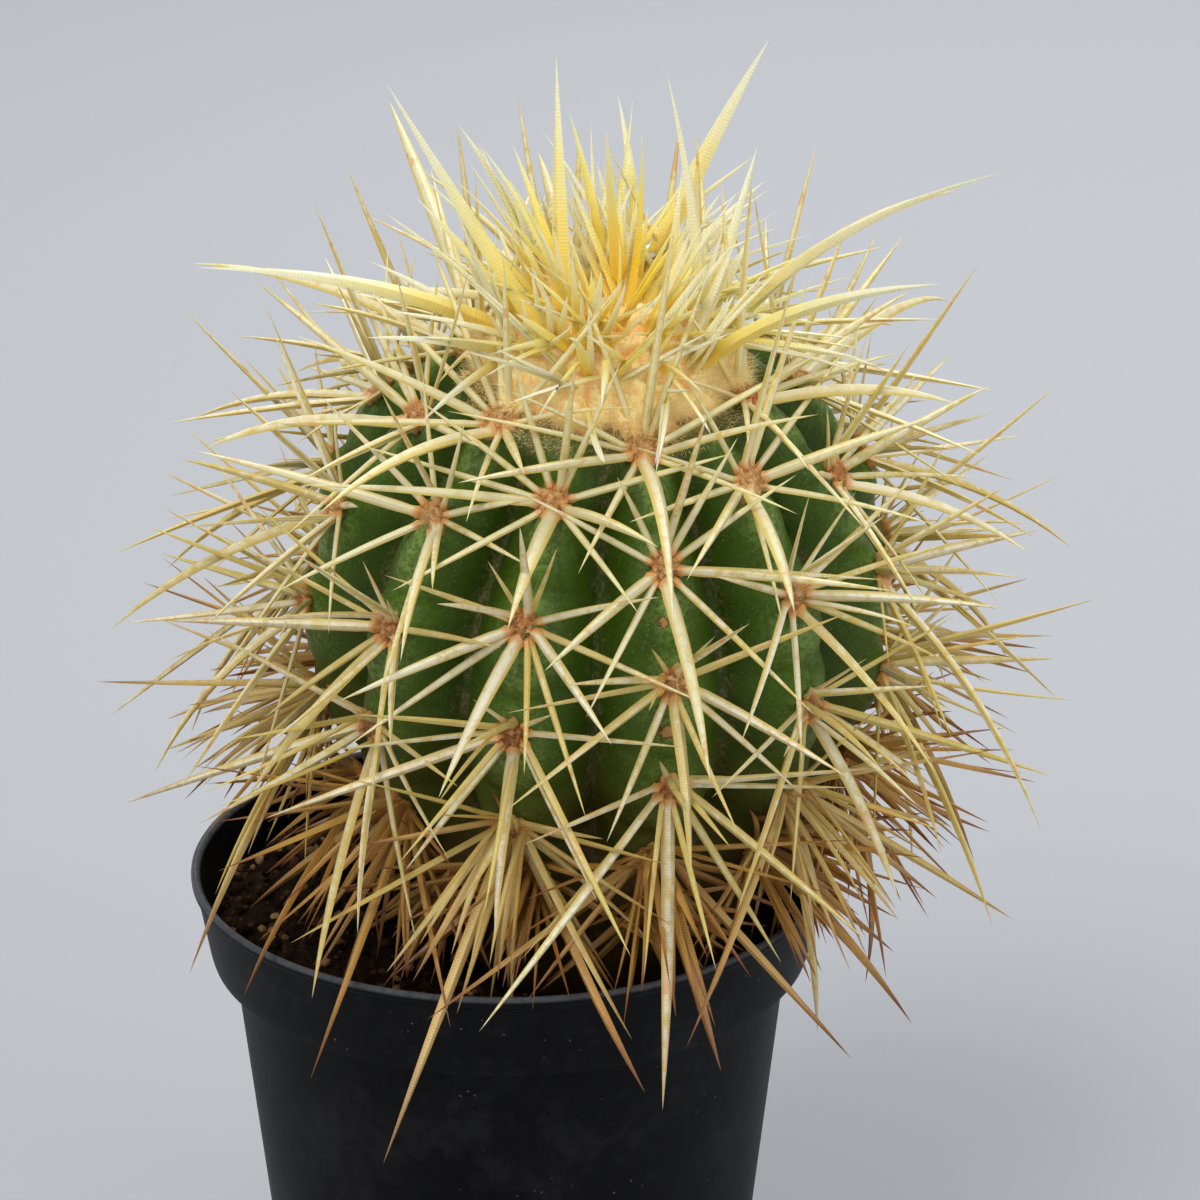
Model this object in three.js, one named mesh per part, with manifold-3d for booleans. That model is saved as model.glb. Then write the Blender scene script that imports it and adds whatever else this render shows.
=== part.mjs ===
// A round cactus with yellow spines, growing in a black plastic nursery pot.
// Units are millimetres and +Z is up. The origin is the centre of the pot's base, and the side of
// the plant that leans forward faces -Y. The plant is fused from its ribbed body and its spines; its
// woolly crown, the soil and the pot are pieces of their own.
import * as THREE from 'three';
import { mergeVertices } from 'three/addons/utils/BufferGeometryUtils.js';
import Module from 'manifold-3d';

const wasm = await Module();
wasm.setup();

// ---- Driving dimensions -------------------------------------------------------------------------

const GAP = 0.35; // air left between pieces that touch

const POT = {
  height: 92,
  rimRadius: 52.5,
  collarFootRadius: 49.5,
  collarHeight: 15,
  wallTopRadius: 46,
  baseRadius: 37.6,
  wall: 1.3,
  floor: 1.6,
  segments: 40,
};
const DRAIN = { count: 8, radius: 3, ring: 30 };

const SOIL = {
  level: 82.5,
  swell: 1.3, // height of its unevenness
  rings: 7,
  grains: 22,
  grainSize: 1.8,
  grainRing: 25, // the grains lie in a belt from this radius
  grainBelt: 20,
};

const PLANT = {
  centre: new THREE.Vector3(14.5, -1, 140),
  leanForward: 14.5, // degrees, towards -Y
  leanRight: 2.5, // degrees, towards +X
  crestRadius: 47.3,
  ribs: 12,
  firstRib: 14.6, // degrees from the front to the first crest
  grooveDepth: 8.5,
  bulge: 1.7, // how far the rib swells between its notches
  footDepth: 66, // from the centre down to the buried end
  footRadius: 18,
  footEdge: 2.5, // the foot narrows by this much at its end
};
const CRATER = { depth: 40.5, floorRadius: 16.6, edgeRadius: 19 }; // the sunken apex

const AREOLE = { step: 22.3, evenRib: 6.2, oddRib: 17.8, lastAngle: 141, radius: 2.2 };

// The spines of one areole. turn is the angle from the direction of the apex, lift the angle off the
// skin, and bow how far the tip is pulled back to the skin, as a share of the length.
const SPINES = [
  { turn: 180, lift: 50, length: 37, width: 2.4, bow: 0.26 },
  { turn: -112, lift: 34, length: 33, width: 2.0, bow: 0.08 },
  { turn: 112, lift: 47, length: 33, width: 2.0, bow: 0.08 },
  { turn: 4, lift: 62, length: 29, width: 1.9, bow: -0.04 },
  { turn: -140, lift: 19, length: 27, width: 1.6, bow: 0.06 },
  { turn: 140, lift: 27, length: 27, width: 1.6, bow: 0.06 },
  { turn: -66, lift: 31, length: 25, width: 1.6, bow: 0.05 },
  { turn: 66, lift: 20, length: 25, width: 1.6, bow: 0.05 },
  { turn: -90, lift: 22, length: 26, width: 1.5, bow: 0.05 },
  { turn: 92, lift: 18, length: 27, width: 1.5, bow: 0.06 },
];
const CENTRALS = [0, 1, 2, 3];
const RADIALS = [[4, 5, 6, 9], [4, 5, 7, 8]]; // taken in turn by neighbouring areoles
const STOUT = 2.35; // a spine at least this wide is bent at its middle

// Spines that turn down grow longer round the waist of the plant, and all stay short near the soil.
const VIGOUR = [[15, 1.1], [40, 1.05], [75, 1.0], [100, 1.3], [118, 1.2], [130, 0.85], [142, 0.6]];
const UPPER_VIGOUR_LIMIT = 1.08;

// The downward spines that stand out on this plant: rib, row, turn, lift, length and bow.
const LONG_SIDE_SPINES = [
  [0, 1, -170, 52, 46, 0.45],
  [0, 2, -176, 48, 39, 0.24],
  [0, 3, -173, 49, 30, 0.27],
  [0, 4, -168, 48, 48, 0.12],
  [0, 5, 163, 72, 36, 0.04],
  [1, 1, -133, 45, 36, 0.2],
  [1, 2, 180, 49, 35, 0.18],
  [1, 3, 179, 48, 32, 0.19],
  [1, 4, -172, 46, 39, 0.13],
  [1, 5, 125, 49, 42, 0.15],
  [2, 3, -143, 43, 47, 0.23],
  [2, 4, -130, 46, 44, 0.13],
  [3, 1, 129, 49, 50, 0.4],
  [4, 1, -169, 56, 58, 0.29],
  [7, 1, -137, 58, 50, 0.09],
  [8, 1, -177, 49, 53, 0.26],
  [9, 4, 120, 50, 50, 0.1],
  [9, 5, 104, 46, 49, 0.12],
  [10, 2, 119, 48, 44, 0.12],
  [10, 3, -172, 48, 33, 0.18],
  [10, 4, 154, 48, 42, 0.12],
  [10, 5, 114, 66, 48, 0],
  [11, 1, 175, 51, 34, 0.16],
  [11, 2, -168, 50, 31, 0.17],
  [11, 3, 171, 49, 30, 0.18],
  [11, 4, -166, 64, 56, 0.02],
  [11, 5, 111, 59, 46, 0.24],
];

const CROWN = {
  top: 50.3,
  innerAreoles: 11,
  innerAngle: 13, // the inner areoles fill the apex to this angle
  spines: 4, // of each areole
  length: 28,
  width: 2.2,
  lean: 6, // least angle of a spine to the axis, and how far it may lean beyond that
  leanRange: 36,
  turnRange: 95,
  bowRange: 0.2,
};

// The longest crown spines: the place of the root as angle and azimuth, the way the spine leans as
// angle and azimuth, then its length, width and bow.
const LONG_CROWN_SPINES = [
  [18, 164, 28, 133, 46, 3.3, 0.07],
  [9, 282, 26, 188, 44, 2.9, -0.01],
  [18, 84, 15, 201, 45, 2.6, 0.11],
  [13, 320, 40, 243, 52, 2.8, -0.04],
  [17, 264, 57, 284, 53, 2.8, 0.23],
  [19, 97, 30, 78, 58, 2.9, 0.3],
  [17, 55, 36, 52, 50, 2.6, 0.3],
  [10, 165, 22, 338, 40, 2.5, -0.09],
];

const SEED = 20230;
const GOLDEN_ANGLE = 137.5; // degrees between neighbours in a spiral

// ---- Numbers ------------------------------------------------------------------------------------

const rad = THREE.MathUtils.degToRad;
const smooth = THREE.MathUtils.smoothstep;
const lerp = THREE.MathUtils.lerp;

/** A repeatable draw from 0 to 1 for a list of whole numbers. */
function draw(...keys) {
  let state = SEED;
  for (const key of keys) {
    state = Math.imul(state ^ (key + 0x9e3779b9), 0x85ebca6b) >>> 0;
    state = (state ^ (state >>> 13)) >>> 0;
  }
  return state / 4294967296;
}

/** A repeatable draw spread evenly on both sides of zero. */
const spread = (size, ...keys) => (2 * draw(...keys) - 1) * size;

/** Straight-line reading of a list of [position, value] pairs. */
function reading(pairs, at) {
  const next = pairs.findIndex(([position]) => position >= at);
  if (next === 0) return pairs[0][1];
  if (next < 0) return pairs[pairs.length - 1][1];
  const [p0, v0] = pairs[next - 1];
  const [p1, v1] = pairs[next];
  return lerp(v0, v1, (at - p0) / (p1 - p0));
}

// ---- Solids -------------------------------------------------------------------------------------

/** The solid of a closed geometry. */
function solidOf(geometry) {
  const bare = geometry.index ? geometry.toNonIndexed() : geometry.clone();
  bare.deleteAttribute('normal');
  bare.deleteAttribute('uv');
  const merged = mergeVertices(bare, 1e-3);
  return new wasm.Manifold(new wasm.Mesh({
    numProp: 3,
    vertProperties: new Float32Array(merged.attributes.position.array),
    triVerts: new Uint32Array(merged.index.array),
  }));
}

/** The largest shell of a solid: sealed hollows are filled and loose scraps dropped. */
function mainBody(solid) {
  return solid.decompose().reduce((best, shell) => (shell.volume() > best.volume() ? shell : best));
}

/** Joins solids into one body, which stays one body when its closest corners are merged. */
function fused(solids) {
  let body = mainBody(wasm.Manifold.union(solids).simplify(0.04));
  for (let pass = 0; pass < 4; pass++) body = mainBody(solidOf(geometryOf(body)));
  return body;
}

/** The geometry of a solid. */
function geometryOf(solid) {
  const { vertProperties, triVerts } = solid.getMesh();
  const geometry = new THREE.BufferGeometry();
  geometry.setAttribute('position', new THREE.BufferAttribute(new Float32Array(vertProperties), 3));
  geometry.setIndex(new THREE.BufferAttribute(new Uint32Array(triVerts), 1));
  geometry.computeVertexNormals();
  return geometry;
}

/** A closed skin over rings of points, from a first to a last single point. */
function ringSolid(first, rings, last) {
  const size = rings[0].length;
  const points = [first, ...rings.flat(), last];
  const end = points.length - 1;
  const at = (ring, i) => 1 + ring * size + (i % size);
  const faces = [];
  for (let i = 0; i < size; i++) faces.push(0, at(0, i), at(0, i + 1));
  for (let ring = 0; ring < rings.length - 1; ring++) {
    for (let i = 0; i < size; i++) {
      faces.push(at(ring, i), at(ring + 1, i), at(ring + 1, i + 1));
      faces.push(at(ring, i), at(ring + 1, i + 1), at(ring, i + 1));
    }
  }
  for (let i = 0; i < size; i++) faces.push(end, at(rings.length - 1, i + 1), at(rings.length - 1, i));
  const geometry = new THREE.BufferGeometry().setFromPoints(points);
  geometry.setIndex(faces);
  return solidOf(geometry);
}

/** A solid of revolution about +Z from [radius, height] pairs, listed upwards on the outside. */
function turned(pairs, segments) {
  const profile = pairs.map(([radius, height]) => new THREE.Vector2(radius, height));
  return solidOf(new THREE.LatheGeometry(profile, segments).rotateX(Math.PI / 2));
}

// ---- Pot ----------------------------------------------------------------------------------------

const collarFoot = POT.height - POT.collarHeight;
const innerLedge = collarFoot + POT.wall;

/** Inner radius of the pot at a height. */
function boreRadius(height) {
  if (height < innerLedge) {
    return lerp(POT.baseRadius, POT.wallTopRadius, height / collarFoot) - POT.wall;
  }
  const up = (height - collarFoot) / POT.collarHeight;
  return lerp(POT.collarFootRadius, POT.rimRadius, up) - POT.wall - 0.1;
}

function makePot() {
  const shell = turned([
    [0, 0],
    [POT.baseRadius - 1, 0],
    [POT.baseRadius, 1],
    [POT.wallTopRadius, collarFoot - 0.6],
    [POT.collarFootRadius, collarFoot],
    [POT.rimRadius - 0.2, POT.height - 1.2],
    [POT.rimRadius, POT.height - 0.3],
    [POT.rimRadius - 0.4, POT.height],
    [POT.rimRadius - POT.wall, POT.height],
    [boreRadius(POT.height - 0.6), POT.height - 0.6],
    [boreRadius(innerLedge + 0.4), innerLedge + 0.4],
    [boreRadius(innerLedge - 0.1), innerLedge - 0.1],
    [boreRadius(POT.floor), POT.floor],
    [0, POT.floor],
  ], POT.segments);
  const drains = [];
  for (let i = 0; i < DRAIN.count; i++) {
    const hole = new THREE.CylinderGeometry(DRAIN.radius, DRAIN.radius, 4 * POT.floor, 10);
    const turn = (2 * Math.PI * (i + 0.5)) / DRAIN.count;
    hole.rotateX(Math.PI / 2).translate(DRAIN.ring * Math.cos(turn), DRAIN.ring * Math.sin(turn), 0);
    drains.push(solidOf(hole));
  }
  return shell.subtract(wasm.Manifold.union(drains));
}

// ---- Body of the plant --------------------------------------------------------------------------

/** Turns a point of the plant's own upright frame to its place: the waist leans, the foot doesn't. */
function lean(point, angle) {
  const share = 1 - smooth(angle, 105, 150);
  return point
    .applyAxisAngle(new THREE.Vector3(1, 0, 0), rad(PLANT.leanForward) * share)
    .applyAxisAngle(new THREE.Vector3(0, 1, 0), rad(PLANT.leanRight) * share)
    .add(PLANT.centre);
}

/** A point at a polar angle from the apex, an azimuth from the front and a distance, in degrees. */
function polar(angle, azimuth, distance) {
  const across = distance * Math.sin(rad(angle));
  const point = new THREE.Vector3(
    across * Math.sin(rad(azimuth)), -across * Math.cos(rad(azimuth)), distance * Math.cos(rad(angle)));
  return lean(point, angle);
}

/** Distance of the crest line from the centre, without its bulges. */
function crestDistance(angle) {
  const rim = Math.atan2(CRATER.floorRadius, CRATER.depth) * THREE.MathUtils.RAD2DEG;
  const shoulder = rim + 1;
  if (angle <= rim) return CRATER.depth / Math.cos(rad(angle));
  if (angle < shoulder) return lerp(CRATER.depth / Math.cos(rad(rim)), PLANT.crestRadius, angle - rim);
  const droop = Math.max(0, (angle - 115) / 43);
  return PLANT.crestRadius + 15 * droop ** 2.2;
}

const ribAzimuth = (rib) => PLANT.firstRib + (360 / PLANT.ribs) * rib;
const firstAreole = (rib) => (rib % 2 === 0 ? AREOLE.evenRib : AREOLE.oddRib);

/** Distance of the skin from the centre, with ribs, grooves and the bulges below each notch. */
function skinDistance(angle, azimuth) {
  const pitch = 360 / PLANT.ribs;
  const rib = Math.round((azimuth - PLANT.firstRib) / pitch);
  const aside = Math.abs(azimuth - ribAzimuth(rib)) / (pitch / 2);
  const round = 1 - aside ** 1.9;
  const open = smooth(angle, 22, 46) * (1 - smooth(angle, 118, 156));
  const along = (angle - firstAreole((rib + 2 * PLANT.ribs) % 2)) / AREOLE.step;
  const swell = Math.sqrt(0.5 + 0.5 * Math.cos(2 * Math.PI * (along - 0.2)));
  const relief = PLANT.grooveDepth * (1 - round) - PLANT.bulge * (swell - 0.5) * round;
  return crestDistance(angle) - open * relief;
}

const COLUMN_SHARES = [-1, -0.5, 0, 0.5]; // columns of each rib, as shares of half its width
const BODY_COLUMNS = COLUMN_SHARES.length * PLANT.ribs;
const BODY_ROWS = 23;
const SHOULDER_ANGLE = 28; // polar angles between which the rows of the body are spaced evenly
const FOOT_ANGLE = 157;

function makeBody() {
  const rim = Math.atan2(CRATER.floorRadius, CRATER.depth) * THREE.MathUtils.RAD2DEG;
  const angles = [rim / 2, rim, rim + 1];
  for (let i = 0; i <= BODY_ROWS; i++) angles.push(lerp(SHOULDER_ANGLE, FOOT_ANGLE, i / BODY_ROWS));
  const azimuths = [];
  for (let rib = 0; rib < PLANT.ribs; rib++) {
    for (const share of COLUMN_SHARES) azimuths.push(ribAzimuth(rib + share / 2));
  }
  const rings = angles.map((angle) =>
    azimuths.map((azimuth) => polar(angle, azimuth, skinDistance(angle, azimuth))));
  for (const [radius, depth] of footProfile().slice(1, 3)) {
    rings.push(azimuths.map((azimuth) => new THREE.Vector3(
      radius * Math.sin(rad(azimuth)), -radius * Math.cos(rad(azimuth)), -depth).add(PLANT.centre)));
  }
  const apex = polar(0, 0, CRATER.depth);
  const end = PLANT.centre.clone().add(new THREE.Vector3(0, 0, -PLANT.footDepth));
  return ringSolid(apex, rings, end);
}

/** Radius and depth below the centre of the round foot that stands in the soil. */
function footProfile() {
  const lowest = crestDistance(FOOT_ANGLE);
  return [
    [lowest * Math.sin(rad(FOOT_ANGLE)), -lowest * Math.cos(rad(FOOT_ANGLE))],
    [PLANT.footRadius + PLANT.footEdge, PLANT.footDepth - PLANT.footEdge],
    [PLANT.footRadius, PLANT.footDepth],
  ];
}

// ---- Areoles and spines -------------------------------------------------------------------------

/** A place on the crest with its outward, apexward and sideways directions. */
function seat(angle, azimuth) {
  const at = polar(angle, azimuth, skinDistance(angle, azimuth));
  const above = polar(angle - 2, azimuth, crestDistance(angle - 2));
  const below = polar(angle + 2, azimuth, crestDistance(angle + 2));
  const beside = polar(angle, azimuth + 2, crestDistance(angle));
  const up = above.sub(below).normalize();
  const side = beside.sub(polar(angle, azimuth, crestDistance(angle))).normalize();
  const out = side.clone().cross(up).normalize();
  return { at, up, side: up.clone().cross(out), out, angle };
}

/** The areoles on the sides of the plant, each with its rib and its row. */
function sideAreoles() {
  const places = [];
  for (let rib = 0; rib < PLANT.ribs; rib++) {
    for (let row = 1; row < 8; row++) {
      const angle = firstAreole(rib) + AREOLE.step * row;
      if (angle > AREOLE.lastAngle) break;
      const place = seat(angle + spread(0.7, rib, row, 1), ribAzimuth(rib) + spread(1, rib, row, 2));
      places.push({ ...place, rib, row });
    }
  }
  return places;
}

/** Height that a spine has to stay above at a distance from the pot's axis. */
function ceiling(radius) {
  if (radius < boreRadius(POT.height) - 2) return SOIL.level + 3.5;
  return radius < POT.rimRadius + 1.8 ? POT.height + 1.8 : -Infinity;
}

/** A point of a spine, as a share of its length from its root. */
function along(spine, share) {
  return spine.root.clone()
    .addScaledVector(spine.aim, spine.length * share)
    .addScaledVector(spine.pull, spine.length * spine.bow * share * share);
}

/** Turns a spine upwards, and draws it in a little, until it clears the pot and the soil. */
function bendClear(spine) {
  const straight = spine.aim.clone();
  for (let attempt = 1; attempt < 16; attempt++) {
    let clear = true;
    for (let i = 2; i <= 12; i++) {
      const point = along(spine, i / 12);
      if (point.z < ceiling(Math.hypot(point.x, point.y))) clear = false;
    }
    if (clear) return spine;
    spine.aim.copy(straight).add(new THREE.Vector3(0, 0, 0.13 * attempt)).normalize();
    spine.length *= 0.985;
  }
  return null;
}

/** Turn, lift, length and bow of one spine of an areole, with its own small differences. */
function spineForm({ rib, row, angle }, kind) {
  const long = LONG_SIDE_SPINES.find(([r, w]) => kind === 0 && r === rib && w === row);
  if (long) return long.slice(2);
  const form = SPINES[kind];
  const strength = reading(VIGOUR, angle);
  const vigour = kind < 3 ? strength : Math.min(strength, UPPER_VIGOUR_LIMIT);
  return [
    form.turn + spread(9, rib, row, kind, 3),
    form.lift + spread(8, rib, row, kind, 4),
    form.length * vigour * (1 + spread(0.14, rib, row, kind, 5)),
    form.bow + spread(0.06, rib, row, kind, 6),
  ];
}

/** One spine of an areole on the side of the plant. */
function sideSpine(place, kind) {
  const { at, up, side, out } = place;
  const [turn, lift, length, bow] = spineForm(place, kind);
  const flat = up.clone().multiplyScalar(Math.cos(rad(turn))).addScaledVector(side, Math.sin(rad(turn)));
  const aim = flat.clone().multiplyScalar(Math.cos(rad(lift))).addScaledVector(out, Math.sin(rad(lift)));
  const pull = out.clone().multiplyScalar(-0.8).add(new THREE.Vector3(0, 0, -0.6)).normalize();
  const root = at.clone().addScaledVector(flat, AREOLE.radius);
  return bendClear({ root, aim, length, bow, pull, out, width: SPINES[kind].width });
}

/** A three-sided needle along a spine, flat towards the skin, with its root sunk in. */
function makeNeedle(spine, sunk = 2.2) {
  const shares = spine.width < STOUT ? [0] : [0, 0.5];
  const rings = shares.map((share) => {
    const here = along(spine, share);
    if (share === 0) here.addScaledVector(spine.out, -sunk);
    const way = along(spine, share + 0.05).sub(along(spine, share)).normalize();
    const across = way.clone().cross(spine.out).normalize();
    const thick = across.clone().cross(way);
    const width = spine.width * (1 - share ** 2 * 0.75);
    return [[0.5, -0.2], [0, 0.4], [-0.5, -0.2]].map(([a, b]) =>
      here.clone().addScaledVector(across, a * width).addScaledVector(thick, b * width));
  });
  const tip = along(spine, 1);
  const [a, b, c] = rings[0];
  const root = a.clone().add(b).add(c).divideScalar(3);
  return ringSolid(root, rings, tip);
}

function makeCactus() {
  const pieces = [makeBody()];
  const spines = [];
  for (const place of sideAreoles()) {
    for (const kind of [...CENTRALS, ...RADIALS[place.row % 2]]) {
      const spine = sideSpine(place, kind);
      if (spine) spines.push(spine);
    }
  }
  pieces.push(...spines.map((spine) => makeNeedle(spine)));
  return { solid: fused(pieces), spines };
}

// ---- Crown --------------------------------------------------------------------------------------

/** Puts a solid made in the plant's own frame where the plant holds its apex. */
function raised(geometry) {
  return geometry
    .rotateX(rad(PLANT.leanForward))
    .rotateY(rad(PLANT.leanRight))
    .translate(PLANT.centre.x, PLANT.centre.y, PLANT.centre.z);
}

/** Shortest way between two spines, less what their widths take. */
function airBetween(one, other) {
  const line = new THREE.Line3();
  const nearest = new THREE.Vector3();
  let least = Infinity;
  for (const [from, to] of [[0, 0.5], [0.5, 1]]) {
    line.set(along(other, from), along(other, to));
    for (let i = 0; i <= 20; i++) {
      const point = along(one, i / 20);
      line.closestPointToPoint(point, true, nearest);
      least = Math.min(least, point.distanceTo(nearest));
    }
  }
  return least - 0.6 * (one.width + other.width);
}

/** Direction of a polar angle from the apex and an azimuth, as the plant leans. */
const heading = (angle, azimuth) => polar(angle, azimuth, 1).sub(PLANT.centre).normalize();

/** A crown spine, turned a little about the axis until it is clear of the side spines. */
function crownSpine([angle, azimuth, away, towards, length, width, bow], others) {
  const root = polar(angle, azimuth, PLANT.crestRadius + 1);
  const out = heading(angle, azimuth);
  for (let attempt = 0; attempt < 16; attempt++) {
    const aim = heading(away, towards + 6 * attempt);
    const pull = aim.clone().cross(out).cross(aim).normalize().negate();
    const spine = { root, aim, length, bow, pull, out, width };
    if (others.every((other) => airBetween(spine, other) > GAP)) return spine;
  }
  return null;
}

/** Every crown spine: the long ones, and a tuft from each of the crowded areoles. */
function crownForms() {
  const forms = [...LONG_CROWN_SPINES];
  const areoles = [];
  for (let rib = 1; rib < PLANT.ribs; rib += 2) areoles.push([firstAreole(rib) - 1, ribAzimuth(rib)]);
  for (let i = 0; i < CROWN.innerAreoles; i++) {
    areoles.push([CROWN.innerAngle * Math.sqrt((i + 0.3) / CROWN.innerAreoles), GOLDEN_ANGLE * i]);
  }
  areoles.forEach(([angle, azimuth], number) => {
    for (let i = 0; i < CROWN.spines; i++) {
      forms.push([
        angle,
        azimuth + spread(6, number, i, 20),
        angle * 1.1 + CROWN.lean + CROWN.leanRange * draw(number, i, 22),
        azimuth + spread(CROWN.turnRange, number, i, 21),
        CROWN.length * (0.6 + 0.6 * draw(number, i, 23)),
        CROWN.width * (0.75 + 0.4 * draw(number, i, 24)),
        spread(CROWN.bowRange, number, i, 25),
      ]);
    }
  });
  return forms;
}

function makeCrown(sideSpines) {
  const profile = [
    [0, CRATER.depth + GAP],
    [CRATER.floorRadius - 0.5, CRATER.depth + GAP],
    [CRATER.edgeRadius - 0.9, PLANT.crestRadius * 0.93],
    [CRATER.edgeRadius - 0.6, PLANT.crestRadius * 0.96],
    [CRATER.edgeRadius - 2.6, CROWN.top - 2.2],
    [CRATER.edgeRadius - 8, CROWN.top - 0.6],
    [0, CROWN.top],
  ].map(([radius, height]) => new THREE.Vector2(radius, height));
  const wool = new THREE.LatheGeometry(profile, 24).rotateX(Math.PI / 2);
  const spines = crownForms().map((form) => crownSpine(form, sideSpines)).filter((spine) => spine);
  return fused([solidOf(raised(wool)), ...spines.map((spine) => makeNeedle(spine, 3))]);
}

// ---- Soil ---------------------------------------------------------------------------------------

function makeSoil() {
  const rings = [];
  const edge = SOIL.level;
  const ringAt = (radius, height, rough) => {
    const ring = [];
    for (let i = 0; i < POT.segments; i++) {
      const turn = (2 * Math.PI * i) / POT.segments;
      const bump = rough ? spread(SOIL.swell, rings.length, i, 31) : 0;
      ring.push(new THREE.Vector3(radius * Math.cos(turn), radius * Math.sin(turn), height + bump));
    }
    rings.push(ring);
  };
  const rimRadius = boreRadius(edge) - GAP;
  for (let i = 1; i < SOIL.rings; i++) ringAt((rimRadius * i) / SOIL.rings, edge + 1, true);
  ringAt(rimRadius, edge, false);
  ringAt(boreRadius(innerLedge + 0.4) - GAP, innerLedge + 0.4 + GAP, false);
  ringAt(boreRadius(innerLedge - 0.1) - GAP, innerLedge + GAP, false);
  ringAt(boreRadius(POT.floor) - GAP, POT.floor + GAP, false);
  const middle = new THREE.Vector3(0, 0, edge + 1);
  const under = new THREE.Vector3(0, 0, POT.floor + GAP);
  const grains = [];
  for (let i = 0; i < SOIL.grains; i++) {
    const turn = GOLDEN_ANGLE * i;
    const out = SOIL.grainRing + SOIL.grainBelt * draw(i, 32);
    const grain = new THREE.OctahedronGeometry(SOIL.grainSize * (0.6 + 0.6 * draw(i, 33)));
    grain.rotateX(3 * draw(i, 34)).rotateZ(3 * draw(i, 35));
    grain.translate(out * Math.cos(rad(turn)), out * Math.sin(rad(turn)), edge + 1.2);
    grains.push(solidOf(grain));
  }
  const bed = fused([ringSolid(middle, rings, under), ...grains]);
  return fused([bed.subtract(makeSocket())]);
}

/** The hole in the soil that the plant's foot stands in, a gap wider than the foot. */
function makeSocket() {
  const grow = (1 / Math.cos(Math.PI / BODY_COLUMNS));
  const profile = footProfile().reverse().map(([radius, depth]) => [radius * grow + GAP, -depth]);
  const floor = -PLANT.footDepth - GAP;
  profile[0][1] = floor;
  for (const angle of [150, 145, 140]) {
    const distance = crestDistance(angle) + PLANT.bulge;
    profile.push([distance * Math.sin(rad(angle)) * grow + GAP, distance * Math.cos(rad(angle))]);
  }
  const top = profile[profile.length - 1][1];
  const shape = [[0, floor], ...profile, [0, top]];
  return turned(shape, BODY_COLUMNS).translate(PLANT.centre.toArray());
}

// ---- The object ---------------------------------------------------------------------------------

function piece(name, solid, color, roughness) {
  const material = new THREE.MeshStandardMaterial({ color, roughness, metalness: 0 });
  const mesh = new THREE.Mesh(geometryOf(solid), material);
  mesh.name = name;
  return mesh;
}

const plant = makeCactus();
const cactus = new THREE.Group();
cactus.add(piece('pot', makePot(), 0x0b0b0d, 0.38));
cactus.add(piece('soil', makeSoil(), 0x3a2a1d, 0.95));
cactus.add(piece('cactus', plant.solid, 0x2c5a1f, 0.5));
cactus.add(piece('crown', makeCrown(plant.spines), 0xf0cf63, 0.6));

export default cactus;
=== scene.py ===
"""A round cactus with yellow spines in a black nursery pot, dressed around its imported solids.

Lengths are metres unless a name says otherwise. The plant leans towards -Y, which the camera faces.
The rules that place the ribs, areoles and spines are those of the solids, so each finer piece keeps
the form of the node that it replaces.
"""

import logging
import math
from dataclasses import dataclass, field, replace
from enum import Enum, IntEnum

import bpy
import numpy as np
from mathutils import Matrix, Vector

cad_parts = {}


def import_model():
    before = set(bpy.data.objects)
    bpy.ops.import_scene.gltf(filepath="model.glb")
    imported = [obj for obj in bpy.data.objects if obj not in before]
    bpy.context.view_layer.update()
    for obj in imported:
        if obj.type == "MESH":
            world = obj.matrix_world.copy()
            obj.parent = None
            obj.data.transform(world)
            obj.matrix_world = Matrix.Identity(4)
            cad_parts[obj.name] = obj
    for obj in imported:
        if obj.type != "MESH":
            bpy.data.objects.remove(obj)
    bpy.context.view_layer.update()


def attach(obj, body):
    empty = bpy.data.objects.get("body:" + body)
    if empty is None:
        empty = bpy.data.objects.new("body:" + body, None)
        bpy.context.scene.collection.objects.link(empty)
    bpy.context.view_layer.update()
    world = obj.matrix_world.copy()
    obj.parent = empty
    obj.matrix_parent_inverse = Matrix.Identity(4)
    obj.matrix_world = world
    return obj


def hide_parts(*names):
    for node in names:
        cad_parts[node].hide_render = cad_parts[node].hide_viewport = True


LOG = logging.getLogger("cactus")
MM = 0.001
UP = np.array([0.0, 0.0, 1.0])
BODY = "root"
# Degrees: edges of spines stay sharp from here on, and areoles that spiral outward are so far apart.
SHARP = 40.0
GOLDEN_ANGLE = 137.5
# The repeatable draw, which is the solids' own.
SEED = 20230
HASH_ADD = 0x9E3779B9
HASH_TIMES = 0x85EBCA6B
HASH_MASK = 0xFFFFFFFF


class Slot(Enum):
    """The record's material slots."""

    POT = "pot_plastic"
    SOIL = "soil"
    SKIN = "cactus_skin"
    SPINES = "side_spines"
    FELT = "areole_felt"
    CROWN_SPINES = "crown_spines"
    WOOL = "crown_wool"


class Key(IntEnum):
    """Last number of each draw, which says what is drawn."""

    AREOLE_ANGLE = 1
    AREOLE_AZIMUTH = 2
    TURN = 3
    LIFT = 4
    LENGTH = 5
    BOW = 6
    AGE = 7
    TONE = 8
    TWIST = 9
    WIDTH = 10
    YOUNG_AZIMUTH = 20
    YOUNG_TURN = 21
    YOUNG_LEAN = 22
    YOUNG_LENGTH = 23
    YOUNG_WIDTH = 24
    YOUNG_BOW = 25
    YOUNG_TONE = 26
    YOUNG_TWIST = 27
    FINE_ANGLE = 30
    FINE_AZIMUTH = 31
    FINE_LEAN = 32
    FINE_TURN = 33
    FINE_LENGTH = 34
    FINE_WIDTH = 35
    FINE_BOW = 36
    FELT_TONE = 40


# ---- Numbers ------------------------------------------------------------------------------------


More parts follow.
